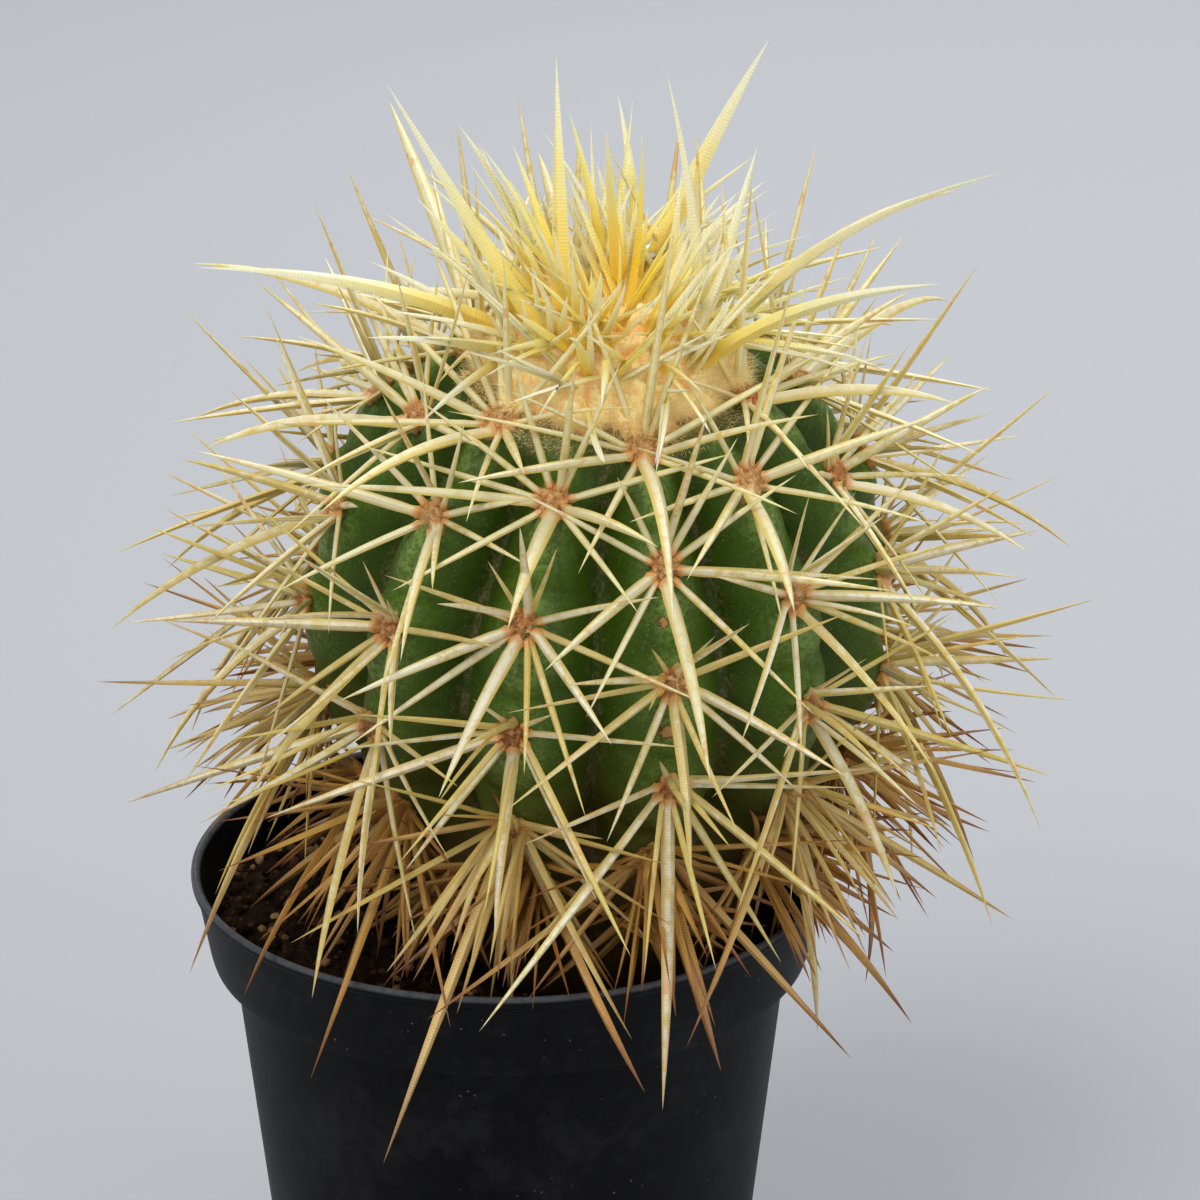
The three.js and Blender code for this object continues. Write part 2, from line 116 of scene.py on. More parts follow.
def draw(*keys: int) -> float:
    """A repeatable draw, the same as the solids' own.

    Args:
        keys: Whole numbers that name what is drawn.

    Returns:
        A number from 0 to 1.
    """
    state = SEED
    for key in keys:
        state = ((state ^ (key + HASH_ADD)) * HASH_TIMES) & HASH_MASK
        state ^= state >> 13
    return state / (HASH_MASK + 1)


def spread(size: float, *keys: int) -> float:
    """A repeatable draw spread evenly on both sides of zero."""
    return (2 * draw(*keys) - 1) * size


def smooth(x: np.ndarray | float, low: float, high: float) -> np.ndarray | float:
    """A smooth step from 0 at low to 1 at high."""
    t = np.clip((x - low) / (high - low), 0.0, 1.0)
    return t * t * (3 - 2 * t)


def unit(v: np.ndarray) -> np.ndarray:
    """The vectors of an array, each at length 1."""
    return v / np.maximum(np.linalg.norm(v, axis=-1, keepdims=True), 1e-12)


class Ripple:
    """Smooth repeatable noise in space, as a sum of plane waves."""

    waves: int = 24

    def __init__(self, size: float, seed: int) -> None:
        """Draws the waves.

        Args:
            size: Length of the longest wave.
            seed: Number that fixes the draw.
        """
        rng = np.random.default_rng(seed)
        way = unit(rng.normal(size=(self.waves, 3)))
        self.ways = way * (2 * math.pi / size) * rng.uniform(1.0, 2.6, (self.waves, 1))
        self.phases = rng.uniform(0, 2 * math.pi, self.waves)
        self.gain = math.sqrt(2 / self.waves)

    def at(self, points: np.ndarray) -> np.ndarray:
        """Reads the noise.

        Args:
            points: Places, one row each.

        Returns:
            A number for each place, mostly between -1 and 1.
        """
        total = np.zeros(points.shape[:-1])
        for way, phase in zip(self.ways, self.phases):
            total += np.sin(points @ way + phase)
        return total * self.gain


# ---- Meshes -------------------------------------------------------------------------------------


@dataclass
class MeshBuilder:
    """Gathers the points, faces and per-point numbers of one piece."""

    points: list[np.ndarray] = field(default_factory=list)
    faces: list[tuple[int, ...]] = field(default_factory=list)
    marks: dict[str, list[np.ndarray]] = field(default_factory=dict)
    count: int = 0

    def add(self, points: np.ndarray, faces: list[tuple[int, ...]],
            **marks: np.ndarray | float) -> None:
        """Adds one closed shape.

        Args:
            points: Its corners, one row each.
            faces: Its faces, as indices into points.
            marks: Numbers that the finish reads, one for each corner or one for all.
        """
        start = self.count
        self.points.append(points)
        self.faces.extend(tuple(i + start for i in face) for face in faces)
        self.count += len(points)
        for name, value in marks.items():
            each = np.broadcast_to(np.asarray(value, float), (len(points),))
            self.marks.setdefault(name, []).append(each)

    def build(self, name: str, material: bpy.types.Material, slot: Slot,
              sharp: float | None = None) -> bpy.types.Object:
        """Makes the piece, gives it its finish and sets it on the part's body.

        Args:
            name: Name of the piece.
            material: Its finish.
            slot: The record's slot that the finish stands for; not used.
            sharp: Angle in degrees from which an edge isn't smoothed over, or none.

        Returns:
            The new object.
        """
        mesh = self.mesh(name)
        for mark, parts in self.marks.items():
            values = np.concatenate(parts).astype(np.float32)
            mesh.attributes.new(mark, "FLOAT", "POINT").data.foreach_set("value", values)
        smooth_shade(mesh, sharp)
        mesh.materials.append(material)
        mesh.update()
        piece = place_object(name, mesh)
        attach(piece, BODY)
        return piece

    def mesh(self, name: str) -> bpy.types.Mesh:
        """Makes the bare mesh of all shapes added so far.

        Args:
            name: Its name.

        Returns:
            The mesh, without marks or finish.
        """
        mesh = bpy.data.meshes.new(name)
        mesh.from_pydata(np.concatenate(self.points).tolist(), [], self.faces)
        return mesh


def place_object(name: str, data: bpy.types.ID) -> bpy.types.Object:
    """Puts a mesh, light or camera into the scene.

    Args:
        name: Name of the new object.
        data: What it shows.

    Returns:
        The object, at the origin.
    """
    made = bpy.data.objects.new(name, data)
    bpy.context.scene.collection.objects.link(made)
    return made


def smooth_shade(mesh: bpy.types.Mesh, sharp: float | None) -> None:
    """Shades a mesh smooth.

    Args:
        mesh: The mesh.
        sharp: Angle in degrees from which an edge isn't smoothed over, or none.
    """
    mesh.polygons.foreach_set("use_smooth", np.ones(len(mesh.polygons), bool))
    if sharp is not None:
        mesh.set_sharp_from_angle(angle=math.radians(sharp))


def turns_of(count: int, way: int = 1) -> np.ndarray:
    """Even turns about an axis in radians, counted against the clock or, with way -1, with it."""
    return way * 2 * math.pi * np.arange(count) / count


def level_ring(centre: np.ndarray | tuple[float, float], radius: float, height: float,
               turns: np.ndarray) -> np.ndarray:
    """A round ring of points at one height.

    Args:
        centre: X and Y of its middle.
        radius: Its radius.
        height: Its Z.
        turns: Turn of each point, in radians.

    Returns:
        The points, one row each.
    """
    x, y = centre[0] + radius * np.cos(turns), centre[1] + radius * np.sin(turns)
    return np.stack([x, y, np.full_like(turns, height)], -1)


def closed_rings(first: np.ndarray, rings: np.ndarray, last: np.ndarray) -> tuple[np.ndarray, list]:
    """A closed skin over rings of points between two single points.

    Args:
        first: The point that closes the first ring.
        rings: Array of rings, points and coordinates.
        last: The point that closes the last ring.

    Returns:
        The points and the faces.
    """
    count, size = rings.shape[:2]
    points = np.concatenate([first[None], rings.reshape(-1, 3), last[None]])
    faces = []
    for low in range(1, 1 + (count - 1) * size, size):
        for i in range(size):
            j = (i + 1) % size
            faces.append((low + i, low + size + i, low + size + j, low + j))
    end = len(points) - 1
    low = end - size
    for i in range(size):
        j = (i + 1) % size
        faces.append((0, 1 + i, 1 + j))
        faces.append((end, low + j, low + i))
    return points, faces


# ---- Shader expressions -------------------------------------------------------------------------


class Signal:
    """A shader socket that takes part in Python expressions."""

    def __init__(self, graph: "Graph", socket: bpy.types.NodeSocket) -> None:
        """Wraps a socket of a graph."""
        self.graph = graph
        self.socket = socket

    def _math(self, operation: str, a: "Signal | float", b: "Signal | float" = 0.0) -> "Signal":
        """Adds a Math node."""
        node = self.graph.node("ShaderNodeMath", {"operation": operation}, {0: a, 1: b})
        return Signal(self.graph, node.outputs[0])

    def __add__(self, other: "Signal | float") -> "Signal":
        """This plus other."""
        return self._math("ADD", self, other)

    def __sub__(self, other: "Signal | float") -> "Signal":
        """This less other."""
        return self._math("SUBTRACT", self, other)

    def __rsub__(self, other: "Signal | float") -> "Signal":
        """Other less this."""
        return self._math("SUBTRACT", other, self)

    def __mul__(self, other: "Signal | float") -> "Signal":
        """This times other."""
        return self._math("MULTIPLY", self, other)

    __radd__ = __add__
    __rmul__ = __mul__

    def sine(self) -> "Signal":
        """Sine of this."""
        return self._math("SINE", self)

    def step(self, low: float, high: float) -> "Signal":
        """A smooth step of this.

        Args:
            low: Where it is 0.
            high: Where it is 1.

        Returns:
            A number from 0 to 1.
        """
        inputs = {"Value": self, "From Min": low, "From Max": high, "To Min": 0.0, "To Max": 1.0}
        settings = {"interpolation_type": "SMOOTHSTEP", "clamp": True}
        return Signal(self.graph, self.graph.node("ShaderNodeMapRange", settings, inputs).outputs[0])


Colour = tuple[float, float, float]


class Graph:
    """The node tree of one material."""

    def __init__(self, name: str) -> None:
        """Starts an empty material.

        Args:
            name: Its name.
        """
        self.material = bpy.data.materials.new(name)
        self.material.use_nodes = True
        self.tree = self.material.node_tree
        self.tree.nodes.clear()

    def node(self, kind: str, settings: dict | None = None,
             inputs: dict | None = None) -> bpy.types.Node:
        """Adds a node.

        Args:
            kind: Blender's type name of the node.
            settings: Its properties, set first; stops are a ramp's places and colours.
            inputs: A value or a Signal for each socket that is set.

        Returns:
            The new node.
        """
        made = self.tree.nodes.new(kind)
        for key, value in (settings or {}).items():
            if key == "stops":
                self._set_stops(made.color_ramp, value)
            else:
                setattr(made, key, value)
        for key, value in (inputs or {}).items():
            socket = made.inputs[key]
            if isinstance(value, Signal):
                self.tree.links.new(value.socket, socket)
            elif isinstance(value, tuple) and len(value) == 3 and socket.type == "RGBA":
                socket.default_value = (*value, 1.0)
            else:
                socket.default_value = value
        return made

    @staticmethod
    def _set_stops(ramp: bpy.types.ColorRamp, stops: list[tuple[float, Colour]]) -> None:
        """Fills a ramp.

        Args:
            ramp: The ramp of a new node.
            stops: Place and colour of each stop.
        """
        while len(ramp.elements) < len(stops):
            ramp.elements.new(1.0)
        for element, (place, colour) in zip(ramp.elements, stops):
            element.position = place
            element.color = (*colour, 1.0)

    def marks(self, *names: str) -> list[Signal]:
        """Reads numbers stored with the points of the mesh.

        Args:
            names: Their names.

        Returns:
            One Signal each.
        """
        kinds = [{"attribute_name": name, "attribute_type": "GEOMETRY"} for name in names]
        return [Signal(self, self.node("ShaderNodeAttribute", kind).outputs["Fac"]) for kind in kinds]

    def place(self) -> Signal:
        """The point's place in the part's frame."""
        return Signal(self, self.node("ShaderNodeTexCoord").outputs["Object"])

    def height(self) -> Signal:
        """The point's height over the ground."""
        return Signal(self, self.node("ShaderNodeSeparateXYZ", {}, {0: self.place()}).outputs["Z"])

    def noise(self, size: float, detail: float = 3.0, rough: float = 0.55) -> Signal:
        """Cloudy noise of about a given grain size, from 0 to 1."""
        inputs = {"Vector": self.place(), "Scale": 1 / size, "Detail": detail, "Roughness": rough}
        return Signal(self, self.node("ShaderNodeTexNoise", {}, inputs).outputs[0])

    def cells(self, size: float) -> Signal:
        """Distance to the nearest of scattered points, 1 being about their spacing."""
        inputs = {"Vector": self.place(), "Scale": 1 / size}
        return Signal(self, self.node("ShaderNodeTexVoronoi", {}, inputs).outputs["Distance"])

    def blend(self, share: Signal | float, low: Signal | Colour, high: Signal | Colour) -> Signal:
        """A colour between two colours, by a share from 0 to 1."""
        inputs = {0: share, 6: low, 7: high}
        return Signal(self, self.node("ShaderNodeMix", {"data_type": "RGBA"}, inputs).outputs[2])

    def layers(self, base: Signal | Colour, *layers: tuple[Signal, Signal | Colour]) -> Signal:
        """Lays colours over each other.

        Args:
            base: The lowest colour.
            layers: Share from 0 to 1 and colour of each layer, from the lowest up.

        Returns:
            The colour of them all.
        """
        for share, colour in layers:
            base = self.blend(share, base, colour)
        return base

    def ramp(self, value: Signal, stops: list[tuple[float, Colour]]) -> Signal:
        """A colour read from a list of stops."""
        return Signal(self, self.node("ShaderNodeValToRGB", {"stops": stops}, {0: value}).outputs[0])

    def bump(self, height: Signal, depth: float, strength: float = 1.0) -> Signal:
        """A surface normal tilted by a height from 0 to 1 that stands for a depth."""
        inputs = {"Strength": strength, "Distance": depth, "Height": height}
        return Signal(self, self.node("ShaderNodeBump", {}, inputs).outputs[0])

    def finish(self, colour: Signal | Colour, roughness: Signal | float, normal: Signal | None = None,
               constants: dict | None = None) -> bpy.types.Material:
        """Closes the tree with a Principled surface.

        Args:
            colour: Base colour, plain or a Signal.
            roughness: Roughness, plain or a Signal.
            normal: The bumped normal, if any.
            constants: Plain values of further sockets.

        Returns:
            The material.
        """
        inputs = {"Base Color": colour, "Roughness": roughness, **(constants or {})}
        if normal is not None:
            inputs["Normal"] = normal
        shader = self.node("ShaderNodeBsdfPrincipled", {}, inputs)
        output = self.node("ShaderNodeOutputMaterial")
        self.tree.links.new(shader.outputs[0], output.inputs["Surface"])
        return self.material


# ---- Finishes -----------------------------------------------------------------------------------


@dataclass(frozen=True)
class SkinFinish:
    """Waxy green skin: lighter on the bulges and crests, partly pale wax and partly a painted
    highlight, dark in the grooves as painted shade, olive and corky near the soil.
    """

    deep: Colour = (0.035, 0.072, 0.003)
    green: Colour = (0.072, 0.145, 0.005)
    bloom_and_highlight: Colour = (0.225, 0.345, 0.078)
    olive: Colour = (0.074, 0.076, 0.006)
    cork: Colour = (0.105, 0.062, 0.016)
    dust: Colour = (0.200, 0.150, 0.070)
    scurf: Colour = (0.400, 0.310, 0.130)
    speck: Colour = (0.420, 0.470, 0.230)
    scar: Colour = (0.480, 0.260, 0.085)

    def material(self) -> bpy.types.Material:
        """Builds the finish; it reads the marks crest, down, chin and scar.

        Returns:
            The material.
        """
        g = Graph("waxy_skin")
        crest, down, chin, scarred = g.marks("crest", "down", "chin", "scar")
        cloud, patch = g.noise(9 * MM), g.noise(2.6 * MM, 4.0, 0.6)
        fine = g.noise(0.8 * MM, 4.0, 0.7)
        # Share of the pale waxy colour: cloudy patches of wax, plus a painted highlight on the chins
        # under the areoles and along the crests.
        pale = chin * 0.9 + crest.step(0.45, 1.0) * 0.35 + cloud * 0.6 + patch * 0.5 - 0.76
        low = (down + cloud * 0.16).step(0.60, 0.80)
        groove = (1 - crest.step(0.05, 0.22)) * (fine * 0.9 + patch * 0.5).step(0.66, 0.84)
        near_top = 1 - (down + (fine - 0.5) * 0.10).step(0.155, 0.205)
        scurf = (patch + fine * 0.4).step(0.42, 0.80)
        specks = (1 - g.cells(0.55 * MM).step(0.12, 0.26)) * patch.step(0.44, 0.62)
        dry = scarred + (fine - 0.5) * 0.7 + (patch - 0.5) * 0.5
        scar = dry.step(0.36, 0.46)
        colour = g.layers(
            self.deep,
            # Painted shade: the grooves keep the darkest green and the crests turn lighter green.
            (crest.step(0.0, 0.85), self.green),
            (pale.step(0.0, 0.80) * 0.85, self.bloom_and_highlight),
            ((fine * 0.9 + patch * 0.5).step(0.56, 0.82) * 0.7, self.deep),
            (low * 0.8, self.olive),
            ((down + fine * 0.16).step(0.84, 0.97), self.cork),
            (groove * 0.75, self.dust),
            (near_top * scurf * 0.6, self.scurf),
            (specks * 0.35, self.speck),
            (scar, g.blend(dry.step(0.46, 0.66), self.cork, self.scar)),
        )
        rough = 0.32 + fine * 0.20 + groove * 0.3 + low * 0.2 + scar * 0.3
        height = fine * 0.5 + g.cells(0.45 * MM) * 0.3 + patch * 0.2
        constants = {"Specular IOR Level": 0.26}
        return g.finish(colour, rough, g.bump(height, 0.20 * MM, 0.8), constants)


@dataclass(frozen=True)
class SpineFinish:
    """Straw spines: cream along the middle with a painted whitish highlight there, golden at the
    edges, ribbed across, browner with age.
    """

    name: str = "straw_spine"
    root: Colour = (0.680, 0.310, 0.080)
    gold: Colour = (0.600, 0.420, 0.070)
    lemon: Colour = (0.820, 0.700, 0.200)
    straw: Colour = (0.640, 0.520, 0.170)
    cream: Colour = (0.750, 0.670, 0.350)
    painted_sheen: Colour = (0.930, 0.910, 0.790)
    aged: Colour = (0.530, 0.275, 0.054)
    brown: Colour = (0.250, 0.095, 0.026)
    burnt: Colour = (0.170, 0.050, 0.018)
    band_mm: float = 0.46
    root_mm: float = 2.1

    def material(self) -> bpy.types.Material:
        """Builds the finish; it reads the marks along, reach, edge, age and tone.

        Returns:
            The material.
        """
        g = Graph(self.name)
        along, reach, edge, age, tone = g.marks("along", "reach", "edge", "age", "tone")
        cloud, fine, flake = g.noise(5 * MM), g.noise(0.9 * MM), g.noise(1.7 * MM, 3.0, 0.6)
        # Painted highlight: whitish sheen in flakes along the middle of the flat side, less on old
        # spines.
        painted_sheen = (flake * 0.9 + cloud * 0.6 + tone * 0.25 - age * 0.7).step(0.70, 1.00)
        tan = (1 - flake.step(0.36, 0.50)) * along.step(0.10, 0.4)
        wave = (reach * (2 * math.pi / self.band_mm) + fine * 2.0).sine() * 0.5 + 0.5
        bands = wave.step(0.45, 0.95)
        stain = (cloud + fine * 0.4).step(0.76, 0.90) * along.step(0.30, 0.7)
        body = g.layers(
            self.straw,
            ((tone * 0.7 + cloud * 0.7).step(0.3, 1.0), self.cream),
            (painted_sheen * (1 - edge.step(0.5, 1.0)) * 0.65, self.painted_sheen),
            (tan * 0.35, self.gold),
            (edge.step(0.35, 0.95) * (0.45 + cloud * 0.5), self.gold),
            ((age + tone * 0.35 + cloud * 0.3 - 0.3).step(0.14, 0.85) * 0.88, self.aged),
            ((tone + age * 0.5 + cloud * 0.2).step(1.15, 1.45) * 0.65, self.brown),
            ((0 - age).step(0.0, 0.35) * 0.3, self.lemon),
            (bands * (0.10 + age * 0.50), self.aged),
            (bands * age.step(0.25, 0.85) * 0.42, self.brown),
            ((1 - reach.step(self.root_mm * 0.3, self.root_mm)) * 0.85, self.root),
            (stain * 0.6, self.root),
            (along.step(0.55, 1.0) * (age + tone * 0.4 - 0.1).step(0.2, 0.7), self.burnt),
        )
        height = bands * 0.7 + fine * 0.3
        constants = {"Specular IOR Level": 0.42, "Subsurface Weight": 0.25,
                     "Subsurface Radius": (1.5 * MM, 0.9 * MM, 0.35 * MM), "Subsurface Scale": 1.0}
        return g.finish(body, 0.30 + cloud * 0.18, g.bump(height, 0.025 * MM, 0.8), constants)


@dataclass(frozen=True)
class CrownSpineFinish:
    """Young spines: yolk yellow at the root, lemon above, pale at the tip, and faintly emissive: a
    painted light that stands in for light passing through them.
    """

    root: Colour = (0.960, 0.600, 0.135)
    yolk: Colour = (0.950, 0.640, 0.066)
    lemon: Colour = (0.870, 0.735, 0.255)
    pale: Colour = (0.820, 0.780, 0.555)
    band_mm: float = 0.55
    # Emission strength: painted light in place of light passing through the spines.
    painted_glow: float = 0.015

    def material(self) -> bpy.types.Material:
        """Builds the finish; it reads the marks along, reach, age and tone.

        Returns:
            The material.
        """
        g = Graph("young_spine")
        along, reach, age, tone = g.marks("along", "reach", "age", "tone")
        cloud = g.noise(5 * MM)
        place = along * 0.95 + age * 0.5 + (tone - 0.5) * 0.5 + (cloud - 0.5) * 0.3 - 0.05
        stops = [(0.0, self.root), (0.28, self.yolk), (0.66, self.lemon), (1.0, self.pale)]
        body = g.ramp(place, stops)
        bands = ((reach * (2 * math.pi / self.band_mm)) + g.noise(2 * MM) * 4.0).sine() * 0.5 + 0.5
        body = g.blend(bands * 0.10, body, self.yolk)
        constants = {"Specular IOR Level": 0.32, "Subsurface Weight": 0.5,
                     "Subsurface Radius": (2.2 * MM, 1.5 * MM, 0.5 * MM), "Subsurface Scale": 1.0,
                     "Emission Color": body, "Emission Strength": self.painted_glow}
        return g.finish(body, 0.32 + cloud * 0.14, g.bump(bands, 0.05 * MM, 0.7), constants)


@dataclass(frozen=True)
class FeltFinish:
    """Short matted hair: brown felt on the areoles, or peach wool on the crown; the wool's emission is
    painted light.
    """

    name: str
    inner: Colour
    outer: Colour
    dusty: Colour
    grain: float = 0.9 * MM
    # Emission strength: painted light that brightens the shaded hair; only the crown wool sets it.
    painted_glow: float = 0.0

    def material(self) -> bpy.types.Material:
        """Builds the finish; it reads the marks edge and tone.

        Returns:
            The material.
        """
        g = Graph(self.name)
        edge, tone = g.marks("edge", "tone")
        cloud, fine = g.noise(self.grain * 3), g.noise(self.grain, 4.0, 0.7)
        clump = g.cells(self.grain * 1.6)
        # Share of the outer colour: a random tone, lowered in the gaps between clumps where the bump
        # sinks, which is painted shade.
        light = (cloud * 0.4 + tone * 0.55 - clump * 0.35 + fine * 0.3).step(0.12, 0.62)
        dusty = (edge + cloud * 0.4 + fine * 0.3 - 0.35).step(0.50, 1.0)
        colour = g.layers(self.inner, (light, self.outer), (dusty, self.dusty))
        height = fine * 0.7 + g.noise(self.grain * 0.35, 2.0) * 0.4 - clump * 0.2
        constants = {"Specular IOR Level": 0.08, "Emission Color": colour,
                     "Emission Strength": self.painted_glow}
        return g.finish(colour, 0.92, g.bump(height, 0.35 * MM, 0.9), constants)


@dataclass(frozen=True)
class PotFinish:
    """Black thermoformed plastic with fine dust and dried soil specks, and a painted highlight along
    the lip.
    """

    black: Colour = (0.0024, 0.0024, 0.0030)
    grey: Colour = (0.0044, 0.0044, 0.0052)
    film: Colour = (0.0140, 0.0140, 0.0150)
    painted_lip_highlight: Colour = (0.110, 0.112, 0.120)
    dust: Colour = (0.150, 0.120, 0.090)
    top: float = 92 * MM

    def material(self) -> bpy.types.Material:
        """Builds the finish.

        Returns:
            The material.
        """
        g = Graph("black_plastic")
        cloud, fine = g.noise(22 * MM, 4.0), g.noise(1.1 * MM, 3.0)
        specks = (1 - g.cells(1.9 * MM).step(0.06, 0.13)) * g.noise(9 * MM).step(0.50, 0.64)
        smudge = (g.noise(16 * MM, 6.0, 0.7) + g.noise(3 * MM, 3.0) * 0.3).step(0.62, 0.84)
        # Painted highlight: a lighter grey band along the lip, where the rim's edge catches the light.
        lip = g.height().step(self.top - 1.0 * MM, self.top - 0.4 * MM)
        colour = g.layers(
            self.black,
            (cloud.step(0.35, 0.75), self.grey),
            (smudge * 0.6, self.film),
            (lip * (fine * 0.8 + 0.2), self.painted_lip_highlight),
            (specks * 0.7, self.dust),
        )
        rough = 0.42 + cloud * 0.16 + specks * 0.4 - lip * 0.12
        relief = fine * 0.6 + cloud * 0.4 + specks * 0.5
        return g.finish(colour, rough, g.bump(relief, 0.06 * MM, 0.6), {"Specular IOR Level": 0.09})


@dataclass(frozen=True)
class SoilFinish:
    """Peat crumbs and grit: each grain has a tone of its own."""

    name: str = "peat"
    stops: tuple[tuple[float, Colour], ...] = (
        (0.0, (0.004, 0.002, 0.001)),
        (0.40, (0.014, 0.007, 0.003)),
        (0.68, (0.060, 0.028, 0.011)),
        (0.85, (0.210, 0.115, 0.045)),
        (1.0, (0.440, 0.310, 0.160)),
    )

    def material(self) -> bpy.types.Material:
        """Builds the finish; it reads the mark tone.

        Returns:
            The material.
        """
        g = Graph(self.name)
        fine = g.noise(0.7 * MM, 4.0, 0.65)
        colour = g.ramp(g.marks("tone")[0] + (fine - 0.5) * 0.34, list(self.stops))
        height = fine * 0.6 + g.noise(0.25 * MM, 2.0) * 0.4
        return g.finish(colour, 0.95, g.bump(height, 0.4 * MM, 1.0), {"Specular IOR Level": 0.06})


@dataclass(frozen=True)
class FloorFinish:
    """Plain pale floor."""

    colour: Colour = (0.43, 0.44, 0.46)

    def material(self) -> bpy.types.Material:
        """Builds the finish."""
        return Graph("pale_floor").finish(self.colour, 0.85, None, {"Specular IOR Level": 0.2})


# ---- Form of the plant --------------------------------------------------------------------------


@dataclass(frozen=True)
class Seat:
    """An areole's place on a crest, with its outward, apexward and sideways directions."""

    at: np.ndarray
    up: np.ndarray
    side: np.ndarray
    out: np.ndarray
    angle: float
    rib: int
    row: int


@dataclass(frozen=True)
class Plant:
    """Sizes of the plant in millimetres and degrees, and the rules that place its skin."""

    centre: tuple[float, float, float] = (14.5, -1.0, 140.0)
    lean_forward: float = 14.5
    lean_right: float = 2.5
    lean_fade: tuple[float, float] = (105.0, 150.0)
    crest_radius: float = 47.3
    ribs: int = 12
    first_rib: float = 14.6
    groove_depth: float = 8.5
    groove_power: float = 1.9
    groove_opens: tuple[float, float] = (22.0, 46.0)
    groove_ends: tuple[float, float] = (118.0, 156.0)
    bulge: float = 1.7
    bulge_shift: float = 0.2
    droop: float = 15.0
    droop_from: float = 115.0
    droop_range: float = 43.0
    droop_power: float = 2.2
    foot_depth: float = 66.0
    foot_radius: float = 18.0
    foot_edge: float = 2.5
    crater_depth: float = 40.5
    crater_floor: float = 16.6
    areole_step: float = 22.3
    even_rib: float = 6.2
    odd_rib: float = 17.8
    last_angle: float = 141.0
    last_row: int = 7

    @property
    def middle(self) -> np.ndarray:
        """The plant's centre as an array."""
        return np.array(self.centre)

    @property
    def crater_rim(self) -> float:
        """Polar angle at which the crater's floor meets its wall."""
        return math.degrees(math.atan2(self.crater_floor, self.crater_depth))

    def lean(self, points: np.ndarray, angle: np.ndarray | float) -> np.ndarray:
        """Turns points of the upright plant to their place: the waist leans, the foot doesn't.

        Args:
            points: Points about the plant's centre, in millimetres.
            angle: Polar angle of each from the apex, in degrees.

        Returns:
            The points in the part's frame, in millimetres.
        """
        share = 1 - smooth(np.asarray(angle, float), *self.lean_fade)
        a, b = np.radians(self.lean_forward) * share, np.radians(self.lean_right) * share
        x, y, z = points[..., 0], points[..., 1], points[..., 2]
        y, z = y * np.cos(a) - z * np.sin(a), y * np.sin(a) + z * np.cos(a)
        x, z = x * np.cos(b) + z * np.sin(b), -x * np.sin(b) + z * np.cos(b)
        return np.stack([x, y, z], -1) + self.middle

    def polar(self, angle: np.ndarray | float, azimuth: np.ndarray | float,
              distance: np.ndarray | float) -> np.ndarray:
        """Places points on the plant.

        Args:
            angle: Polar angles from the apex, in degrees.
            azimuth: Azimuths from the front, in degrees.
            distance: Distances from the centre.

        Returns:
            The points in the part's frame.
        """
        t, a = np.radians(angle), np.radians(azimuth)
        across = distance * np.sin(t)
        upright = np.stack(np.broadcast_arrays(
            across * np.sin(a), -across * np.cos(a), distance * np.cos(t)), -1)
        return self.lean(upright, angle)

    def crest_distance(self, angle: np.ndarray | float) -> np.ndarray:
        """Follows the crest line, without its bulges.

        Args:
            angle: Polar angles from the apex.

        Returns:
            Distances from the centre: the crater, the round, and the droop to the foot.
        """
        rim = self.crater_rim
        angle = np.asarray(angle, float)
        floor = self.crater_depth / np.cos(np.radians(np.minimum(angle, rim)))
        wall = floor + (self.crest_radius - floor) * np.clip(angle - rim, 0, 1)
        low = np.maximum(0, (angle - self.droop_from) / self.droop_range)
        return np.where(angle < rim + 1, wall, self.crest_radius) + self.droop * low**self.droop_power

    def rib_azimuth(self, rib: float) -> float:
        """Azimuth of a rib's crest."""
        return self.first_rib + 360 / self.ribs * rib

    def first_areole(self, rib: int) -> float:
        """Polar angle that a rib's row of areoles is counted from."""
        return self.even_rib if rib % 2 == 0 else self.odd_rib

    def rib_share(self, azimuth: np.ndarray | float) -> tuple[np.ndarray, np.ndarray]:
        """Finds the nearest rib, and how far a place is from its crest.

        Args:
            azimuth: Azimuths of the places.

        Returns:
            The ribs' numbers, and the shares of the way from crest to groove.
        """
        pitch = 360 / self.ribs
        rib = np.floor((np.asarray(azimuth, float) - self.first_rib) / pitch + 0.5)
        aside = np.abs(azimuth - self.first_rib - pitch * rib) / (pitch / 2)
        return rib, aside

    def swell(self, angle: np.ndarray | float, rib: np.ndarray) -> np.ndarray:
        """Says where on a rib the skin bulges.

        Args:
            angle: Polar angles from the apex.
            rib: Numbers of the ribs.

        Returns:
            Numbers from 0 between two areoles to 1 on a chin.
        """
        first = np.where(np.mod(rib, 2) == 0, self.even_rib, self.odd_rib)
        phase = (angle - first) / self.areole_step
        return np.sqrt(0.5 + 0.5 * np.cos(2 * math.pi * (phase - self.bulge_shift)))

    def skin_distance(self, angle: np.ndarray | float, azimuth: np.ndarray | float) -> np.ndarray:
        """Follows the skin, with its ribs, grooves and bulges.

        Args:
            angle: Polar angles from the apex.
            azimuth: Azimuths from the front.

        Returns:
            Distances from the centre.
        """
        rib, aside = self.rib_share(azimuth)
        rounded = 1 - aside**self.groove_power
        open_share = smooth(angle, *self.groove_opens) * (1 - smooth(angle, *self.groove_ends))
        bulge = self.bulge * (self.swell(angle, rib) - 0.5) * rounded
        relief = self.groove_depth * (1 - rounded) - bulge
        return self.crest_distance(angle) - open_share * relief

    def heading(self, angle: float, azimuth: float) -> np.ndarray:
        """Direction of a polar angle and an azimuth, as the plant leans."""
        return unit(self.polar(angle, azimuth, 1.0) - self.middle)

